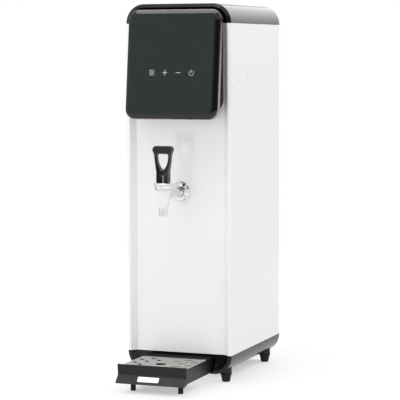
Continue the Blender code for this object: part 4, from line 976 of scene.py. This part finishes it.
piece(
    solid("tap_cap", lathe(soften(
        [(0.0029, BONNET_TOP - 0.0004), (0.0060, BONNET_TOP - 0.0004), (0.0064, BONNET_TOP), (0.0171, BONNET_TOP),
         (0.0178, BONNET_TOP - 0.0008), (0.0178, 0.3614), (0.0156, 0.3598), (0.0152, 0.3533),
         (0.0070, 0.3533), (0.0070, 0.3570), (0.0029, 0.3570)], 0.0004, 4), 96, closed=True), UP, AT_TAP),
    "boiler", "tap_bonnet", CHROME, 40)

stem = solid("tap_rod", lathe(soften(
    [(0, 0.3748), (0.0021, 0.3748), (0.0025, 0.3742), (0.0025, 0.3462), (0.0052, 0.3462), (0.0052, 0.3447), (0.0022, 0.3447),
     (0.0022, 0.3385), (0, 0.3385)], 0.0003, 3, closed=False), 40), UP, AT_TAP)
cut(stem, rod("eye", 0.0014, (-0.01, TAP_Y, PIN_Z), (0.01, TAP_Y, PIN_Z), 28))
piece(stem, "tap_stem", "tap_stem", STEM, 40)
piece(
    solid("tap_pin", lathe(soften([(0, 0.0099), (0.00125, 0.0099), (0.00125, -0.0099), (0, -0.0099)], 0.0003, 3, closed=False), 28),
          Matrix(((0, 0, 1), (0, 1, 0), (-1, 0, 0))), (0, TAP_Y, PIN_Z)),
    "tap_stem", "tap_pivot_pin", PIN_STEEL, 40)

LOW_END, HIGH_END, TURNS = 0.3470, 0.3562, 4
coil = solid("tap_coil", sweep(
    [(0.0044 * math.cos(2 * math.pi * t), TAP_Y + 0.0044 * math.sin(2 * math.pi * t), LOW_END + (HIGH_END - LOW_END) * t / TURNS)
     for t in (i / 24 for i in range(24 * TURNS + 1))], 0.0005, 12))
piece(coil, "boiler", "tap_spring", PIN_STEEL, 50)
settle(coil)
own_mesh(coil)

# Lever: a flat outline with a loop, whose depth changes up its height.
right_side = [(0.0100, 0.3643), (0.0107, 0.3649)] + flowing(
    [(0.0108, 0.3656), (0.0108, 0.3740), (0.0108, 0.3805), (0.0108, 0.3832), (0.0113, 0.3864), (0.0123, 0.3912), (0.0136, 0.3980),
     (0.0147, 0.4050), (0.0152, 0.4110), (0.0157, 0.4147), (0.0170, 0.4180), (0.0181, 0.4207), (0.0182, 0.4230), (0.0175, 0.4257),
     (0.0157, 0.4280), (0.0130, 0.4289), (0.0095, 0.4290)], 4) + [(0.0030, 0.4290)]
left_side = [(-x, z) for x, z in right_side[::-1]]
slot_edge = [(-0.0030, 0.3643)] + arc(-0.0020, 0.3768, 0.0010, 180, 90, 4) + arc(0.0020, 0.3768, 0.0010, 90, 0, 4) + [(0.0030, 0.3643)]
lever_outline = right_side + left_side + slot_edge
half_hole = flowing([(0.0, 0.3862), (0.0027, 0.3874), (0.0056, 0.3910), (0.0080, 0.3958), (0.0096, 0.4010), (0.0105, 0.4065),
                     (0.0108, 0.4118), (0.0104, 0.4140), (0.0088, 0.4151), (0.0060, 0.4152), (0.0, 0.4152)], 4)
loop_hole = half_hole + [(-x, z) for x, z in half_hole[-2:0:-1]]
EASE, DEEP = 0.0013, 0.0100
bm = slab([lever_outline, loop_hole], -DEEP, DEEP, EASE, EASE, 5)
heights = [0.3650 + 0.0009 * i for i in range(71)] + [0.3657, 0.3799, 0.3801, 0.3805]
for z in sorted(heights):
    bmesh.ops.bisect_plane(bm, geom=list(bm.verts) + list(bm.edges) + list(bm.faces), dist=0.0000001, plane_co=(0, z, 0),
                           plane_no=(0, 1, 0))
DEPTHS = [(0.3643, 0.0064), (0.3657, 0.0078), (0.3799, 0.0078), (0.3801, 0.0075), (0.3805, 0.0072), (0.3840, 0.0072),
          (0.3880, 0.0071), (0.3920, 0.0063), (0.3960, 0.0056), (0.4040, 0.0052),
          (0.4110, 0.0053), (0.4150, 0.0059), (0.4185, 0.0064), (0.4240, 0.0064), (0.4270, 0.0060), (0.4300, 0.0046)]


def half_depth(z):
    for (a, da), (b, db) in zip(DEPTHS, DEPTHS[1:]):
        if z <= b:
            share = min(1.0, max(0.0, (z - a) / (b - a)))
            if a >= 0.3840:
                share = share * share * (3 - 2 * share) * 0.5 + share * 0.5
            return da + (db - da) * share
    return DEPTHS[-1][1]


for v in bm.verts:
    deep, size = half_depth(v.co.y), abs(v.co.z)
    new = deep - (DEEP - size) if size >= DEEP - EASE - 1e-7 else size * (deep - EASE) / (DEEP - EASE)
    v.co.z = math.copysign(new, v.co.z)
lever = solid("lever", bm, FACING, AT_TAP)
cut(lever, rod("pin_hole", 0.00155, (-0.02, TAP_Y, PIN_Z), (0.02, TAP_Y, PIN_Z), 32))
piece(lever, "tap_handle", "tap_handle", LEVER, 42)
lever.data.materials.append(LEVER_PAINTED_SHADE)
for face in lever.data.polygons:  # painted shade: the left-facing faces, and the left front of the socket and arms, get a darker, duller black so that side reads as shaded
    low = face.center.z < 0.3850 and face.center.x < 0.0030
    arm = face.center.z < 0.4110 and face.center.x < -0.0050
    if face.normal.x < -0.6 or (face.normal.y < -0.9 and (low or arm)):
        face.material_index = 1

piece(
    solid("tap_rosette", lathe(soften(
        [(0.0090, PANEL - GAP), (0.0176, PANEL - GAP), (0.0176, PANEL - 0.0016), (0.0160, PANEL - 0.0034), (0.0118, PANEL - 0.0042),
         (0.0112, PANEL - 0.0062), (0.0090, PANEL - 0.0062)], 0.0006, 5), 96, closed=True), ALONG_Y, (0, 0, TAP_Z)),
    "boiler", "tap_flange", CHROME, 40)


# ---------------------------------------------------------------- fittings at the rear
def hexagon(across_corners, turn=0.0):
    def radius_of(r, angle, height):
        folded = (angle + turn) % (math.pi / 3) - math.pi / 6
        return min(r, across_corners * math.cos(math.pi / 6) / math.cos(folded))
    return radius_of


nut = solid("valve_nut", lathe(
    soften([(0.0135, REAR + GAP), (0.0166, REAR + GAP), (0.0181, REAR + 0.0011), (0.0181, REAR + 0.0050), (0.0166, REAR + 0.0058),
            (0.0135, REAR + 0.0058)], 0.0002, 2), 96, closed=True, radius_of=lambda r, a, h: r if r < 0.0150 else hexagon(0.0180)(r, a, h)),
    ALONG_Y, (INLET[0], 0, INLET[1]))
piece(nut, "boiler", "inlet_nut", BRASS, 32)


def threaded(low, high, pitch, depth):
    """Adds a helical thread to a lathe between two heights."""
    def radius_of(r, angle, height):
        if not low <= height <= high:
            return r
        phase = (height / pitch - angle / (2 * math.pi)) % 1.0
        ridge = abs(phase - 0.5) * 2
        fade = min(1.0, (height - low) / pitch, (high - height) / pitch)
        return r - depth * ridge * fade
    return radius_of


NIP0, NIP1 = REAR + 0.0062, 0.2190
valve = solid("valve_inlet", lathe(
    [(0, 0.2203), (0.0118, 0.2203), (0.0128, 0.2196)] + [(0.0132, NIP1 - (NIP1 - NIP0) * i / 90) for i in range(91)]
    + [(0.0132, 0.1911), (0.0170, 0.1911), (0.0170, 0.1870), (0.0125, 0.1870), (0.0125, 0.1480), (0.0105, 0.1460), (0, 0.1460)],
    72, radius_of=threaded(NIP0, NIP1, 0.0018, 0.0009)), ALONG_Y, (INLET[0], 0, INLET[1]))
join(valve, rod("outlet", 0.0055, (INLET[0], 0.1560, INLET[1]), (INLET[0], 0.1560, 0.1240)))
cut(
    valve,
    solid("bore", lathe([(0, 0.2300), (0.0100, 0.2300), (0.0100, 0.2203), (0.0090, 0.2193), (0.0090, 0.1700), (0, 0.1700)], 60),
          ALONG_Y, (INLET[0], 0, INLET[1])),
    rod("bore", 0.0030, (INLET[0], 0.1560, INLET[1]), (INLET[0], 0.1560, 0.1300), 32),
    rod("bore", 0.0030, (INLET[0], 0.1560, INLET[1]), (INLET[0], 0.1720, INLET[1]), 32),
)
piece(valve, "boiler", "inlet_valve", NYLON, 40)

VENT_ROUTE = [(0.0180, 0.0650, 0.5950)] + flowing(
    [(0.0180, 0.0650, 0.6060), (0.0240, 0.0800, 0.6200), (0.0420, 0.1300, 0.6200), (0.0600, 0.1660, 0.6020), (0.0700, 0.1740, 0.5500),
     (0.0740, 0.1750, 0.4000), (0.0740, 0.1750, 0.2500), (0.0700, 0.1740, 0.1900), (0.0560, 0.1740, 0.1560), (0.0500, 0.1860, 0.1500)], 8
) + [(0.0500, 0.1900, 0.1500), (0.0500, 0.2030, 0.1500)]
piece(solid("vent_pipe", sweep(VENT_ROUTE, 0.0048, 32, 0.0032, 0.0080)), "boiler", "vent_hose", SILICONE, 40)

piece(
    solid("drain_spout", lathe(soften(
        [(0.0040, 0.2110), (0.0072, 0.2110), (0.0080, 0.2100), (0.0080, 0.1911), (0.0112, 0.1911), (0.0112, 0.1870), (0.0052, 0.1870),
         (0.0052, 0.1700), (0.0040, 0.1700)], 0.0003, 3), 56, closed=True), ALONG_Y, (DRAIN[0], 0, DRAIN[1])),
    "boiler", "drain_fitting", NYLON, 40)


def ribbed(r, angle, height):
    if r < 0.0105 or not 0.1990 < height < 0.2146:
        return r
    return r - 0.00045 * (0.5 + 0.5 * math.cos(24 * angle))


lid_profile = [(0, 0.2160), (0.0096, 0.2160), (0.0106, 0.2155), (0.0111, 0.2147), (0.0112, 0.2140), (0.0112, 0.2120), (0.0112, 0.2060),
               (0.0112, 0.2000), (0.0112, 0.1986), (0.0109, 0.1980), (0.0084, 0.1980), (0.0084, 0.2120), (0, 0.2120)]
piece(solid("drain_lid", lathe(lid_profile, 144, radius_of=ribbed), ALONG_Y, (DRAIN[0], 0, DRAIN[1])),
      "drain_cap", "drain_cap", SATIN, 40)


def gland_shape(r, angle, height):
    if r > 0.0100:
        return hexagon(0.0118, 0.2)(r, angle, height)
    if 0.1992 < height < 0.2044 and r > 0.0085:
        return r - 0.0004 * (0.5 + 0.5 * math.cos(16 * angle))
    return r


gland_profile = ([(0.0042, 0.2130), (0.0062, 0.2130)] + arc(0.0054, 0.2052, 0.0036, 62, 0, 6)[:0]
                 + [(0.0070, 0.2122), (0.0080, 0.2094), (0.0087, 0.2064), (0.0090, 0.2040), (0.0090, 0.1992), (0.0094, 0.1990),
                    (0.0106, 0.1990), (0.0112, 0.1984), (0.0112, REAR + GAP), (0.0076, REAR + GAP), (0.0076, 0.1800), (0.0042, 0.1800)])
piece(solid("gland", lathe(gland_profile, 128, closed=True, radius_of=gland_shape), ALONG_Y, (GLAND[0], 0, GLAND[1])),
      "boiler", "cable_gland", SATIN, 36)

sx, sz = SWITCH
switch = cube("switch_body", (sx - 0.0060, 0.1700, sz - 0.0094), (sx + 0.0060, REAR + 0.0010, sz + 0.0094))
flange = solid("flange", slab([rounded(-0.0076, -0.0108, 0.0076, 0.0108, 0.0012, 5)], REAR + GAP, REAR + 0.0023, 0.0, 0.0006, 4),
               Matrix(((-1, 0, 0), (0, 0, 1), (0, 1, 0))), (sx, 0, sz))
join(switch, flange)
cut(switch, cube("well", (sx - 0.0049, 0.1840, sz - 0.0085), (sx + 0.0049, 0.2100, sz + 0.0085)))
piece(switch, "boiler", "power_switch_housing", SATIN, 40)

TIP, ROCKER_Y = math.radians(8), 0.1935
rocker = [(-0.0078, 0.0035), (-0.0052, 0.0028), (-0.0026, 0.0025), (0.0, 0.0024), (0.0026, 0.0025), (0.0052, 0.0028),
          (0.0078, 0.0035), (0.0070, -0.0022), (0.0030, -0.0060), (-0.0030, -0.0060), (-0.0070, -0.0022)]
rocker_outline = soften([(ROCKER_Y + d * math.cos(TIP) + h * math.sin(TIP), sz + h * math.cos(TIP) - d * math.sin(TIP))
                         for h, d in rocker], 0.0005, 4)
piece(solid("switch_key", slab([rocker_outline], -0.0045, 0.0045, 0.0004, 0.0004, 3), SIDEWAYS, (sx, 0, 0)),
      "switch_rocker", "power_switch_rocker", GLOSS, 36)


def on_rocker(h, d):
    return Vector((sx, ROCKER_Y + d * math.cos(TIP) + h * math.sin(TIP), sz + h * math.cos(TIP) - d * math.sin(TIP)))


# The usual bar and ring moulded into the two halves of the rocker.
for name, outlines, h in (("switch_mark_on", [rounded(-0.0004, -0.0014, 0.0004, 0.0014, 0.0003, 3)], 0.0042),
                          ("switch_mark_off", [circle(0, 0, 0.0014, 28), circle(0, 0, 0.0008, 24)], -0.0042)):
    at, ahead = on_rocker(h, 0.00272), on_rocker(h, 0.00372)
    out_way = (ahead - at).normalized()
    along = (on_rocker(h + 0.001, 0.00272) - at).normalized()
    tilt = 0.135 if h > 0 else -0.135
    turn = Matrix(((-1, 0, 0), (0, along.y, out_way.y), (0, along.z, out_way.z)))
    mark = solid(name, slab(outlines, -0.00012, 0.00008), turn @ Matrix.Rotation(tilt * -1.0, 3, "X"), at)
    piece(mark, "switch_rocker", None, INK, 40)

# ---------------------------------------------------------------- studio
bm = bmesh.new()
bmesh.ops.create_grid(bm, x_segments=40, y_segments=40, size=1.9)
floor = solid("floor", bm)
f = Finish("floor_paper", IOR=1.45)
f.colour(f.mixed(f.span(f.noise(2.2, 3.0), 0.3, 0.7, 0.0, 1.0), (0.20, 0.204, 0.20), (0.215, 0.219, 0.215)))
f.roughness(f.span(f.noise(30.0, 3.0), 0.3, 0.7, 0.70, 0.85))
f.relief(f.noise(800.0, 2.0), 0.00002)
# The sheet glows from within, its glow rising from 0.35 m to 1.2 m out, so its edge melts into the white room; where
# something stands close above it an ambient-occlusion mask cuts the glow, a painted contact shadow.
reach = f.add("ShaderNodeVectorMath", operation="LENGTH")
f.link(f.where, reach.inputs[0])
near = f.add("ShaderNodeAmbientOcclusion", samples=8)
near.inputs["Distance"].default_value = 0.05
painted_contact_shade = f.span(near.outputs["AO"], 0.03, 0.28, 0.34, 1.0)
glow = f.maths("MULTIPLY", f.span(reach.outputs["Value"], 0.35, 1.20, 0.71, 0.84), painted_contact_shade)
f.shader.inputs["Emission Strength"].default_value = 1.0
f.link(f.mixed(glow, (0.0, 0.0, 0.0), (1.0, 1.0, 1.0)), f.shader.inputs["Emission Color"])
floor.data.materials.append(f.material)

world = bpy.data.worlds.new("studio")
scene.world = world
world.use_nodes = True
sky = world.node_tree.nodes["Background"]
sky.inputs["Color"].default_value = (1.0, 1.0, 1.0, 1.0)
sky.inputs["Strength"].default_value = 1.0


def sky_node(kind, values=(), **settings):
    node = world.node_tree.nodes.new(kind)
    for key, value in settings.items():
        setattr(node, key, value)
    for socket, value in zip(node.inputs, values):
        if isinstance(value, (int, float)):
            socket.default_value = value
        else:
            world.node_tree.links.new(value, socket)
    return node


def sky_step(value, start, end, low, high):
    return sky_node("ShaderNodeMapRange", (value, start, end, low, high), interpolation_type="SMOOTHSTEP").outputs["Result"]


# A white room, a little dimmer in front, to the right and to the left rear.
ways = sky_node("ShaderNodeSeparateXYZ", (sky_node("ShaderNodeTexCoord").outputs["Generated"],)).outputs
dim_side = sky_step(ways["X"], -0.85, -0.55, 0.45, 0.0)
dim_rear = sky_step(ways["Y"], -0.30, 0.20, 0.0, 1.0)
dim = sky_node("ShaderNodeMath", (dim_side, dim_rear), operation="MULTIPLY").outputs["Value"]
right = sky_node("ShaderNodeMath", (dim, sky_step(ways["X"], 0.20, 0.80, 0.0, 0.02)), operation="ADD").outputs["Value"]
less = sky_node("ShaderNodeMath", (right, sky_step(ways["Y"], -0.80, -0.30, 0.15, 0.0)), operation="ADD").outputs["Value"]
world.node_tree.links.new(sky_node("ShaderNodeMath", (1.0, less), operation="SUBTRACT").outputs["Value"], sky.inputs["Strength"])


def softbox(name, at, aim, size, power):
    made = bpy.data.lights.new(name, "AREA")
    made.shape, made.size, made.size_y, made.energy = "RECTANGLE", size[0], size[1], power
    obj = bpy.data.objects.new(name, made)
    scene.collection.objects.link(obj)
    obj.location = at
    obj.rotation_euler = (Vector(aim) - Vector(at)).to_track_quat("-Z", "Y").to_euler()
    return obj


softbox("top_light", (-0.2, -0.50, 2.0), (0.0, -0.1, 0.3), (1.3, 1.3), 17.0)
softbox("key_light", (-1.6, -2.8, 0.7), (0.0, 0.0, 0.20), (1.6, 1.2), 5.0).visible_glossy = False


def fill(name, at, aim, angle, power, size=0.25):
    """A soft-edged lamp that lifts one shaded stretch of the front and stays out of reflections."""
    made = bpy.data.lights.new(name, "SPOT")
    made.spot_size, made.spot_blend, made.energy, made.shadow_soft_size = math.radians(angle), 1.0, power, size
    obj = bpy.data.objects.new(name, made)
    scene.collection.objects.link(obj)
    obj.location = at
    obj.rotation_euler = (Vector(aim) - Vector(at)).to_track_quat("-Z", "Y").to_euler()
    obj.visible_glossy = False
    return obj


fill("low_fill", (-0.25, -1.60, 0.30), (0.0, PANEL, 0.045), 16.0, 7.0)
fill("foot_fill", (-0.10, -1.60, 0.26), (0.0, PANEL, 0.050), 8.0, 15.0, 0.10)
fill("high_fill", (-0.30, -1.60, 0.30), (0.0, PANEL, 0.480), 16.0, 5.0)
fill("eave_fill", (-0.20, -1.60, 0.20), (0.0, PANEL, 0.478), 8.5, 38.0)
fill("edge_fill", (-0.15, -1.50, 0.15), (0.0, PANEL, 0.487), 7.0, 16.0, 0.08)


def reflector(name, spots, heights, look):
    """A standing card that shows only in reflections."""
    bm = bmesh.new()
    rows = [[bm.verts.new((x, y, z)) for x, y in spots] for z in heights]
    for low, high in zip(rows, rows[1:]):
        for i in range(len(spots) - 1):
            bm.faces.new((low[i], low[i + 1], high[i + 1], high[i]))
    made = solid(name, bm)
    made.data.materials.append(look)
    made.visible_camera = made.visible_diffuse = made.visible_shadow = made.visible_transmission = False
    return made


# A curved black card to the right draws the dark edge of the glass; a bright one behind lights the polished sides.
f = Finish("card_black", rough=1.0)
f.colour(f.mixed(f.span(f.noise(20.0, 2.0), 0.3, 0.7, 0.0, 1.0), (0.0010, 0.0010, 0.0010), (0.0020, 0.0020, 0.0020)))
f.shader.inputs["Specular IOR Level"].default_value = 0.0
side = f.add("ShaderNodeSeparateXYZ")
f.link(f.where, side.inputs[0])
fade = f.span(side.outputs["X"], -0.075, 0.050, 0.90, 0.12)
f.link(f.mixed(fade, (0.0, 0.0, 0.0), (1.0, 1.0, 1.0)), f.shader.inputs["Emission Color"])
f.shader.inputs["Emission Strength"].default_value = 1.0
around = [math.radians(-21 + 4 * i) for i in range(34)]
reflector("dark_card", [(0.08 + 0.42 * math.sin(a), -0.10 - 0.42 * math.cos(a)) for a in around], (0.47, 0.80), f.material)
f = Finish("card_white", rough=1.0)
rise = f.add("ShaderNodeSeparateXYZ")
f.link(f.where, rise.inputs[0])
cloud = f.span(f.noise(0.8, 2.0), 0.3, 0.7, -0.05, 0.05)
power = f.maths("ADD", f.span(rise.outputs["Z"], 0.55, 1.5, 0.95, 2.10), cloud)
white = f.add("ShaderNodeVectorMath", operation="SCALE")
white.inputs[0].default_value = (1.0, 1.0, 1.0)
f.link(power, white.inputs["Scale"])
f.link(white.outputs["Vector"], f.shader.inputs["Emission Color"])
f.shader.inputs["Emission Strength"].default_value = 1.0
f.shader.inputs["Base Color"].default_value = (0.0, 0.0, 0.0, 1.0)
reflector("white_card", [(-0.5, 2.6), (0.3, 2.6), (1.1, 2.5), (1.9, 2.2)], (0.10, 0.6, 1.1, 1.6, 2.2), f.material)

scene.view_settings.view_transform = "Standard"
scene.view_settings.look = "None"
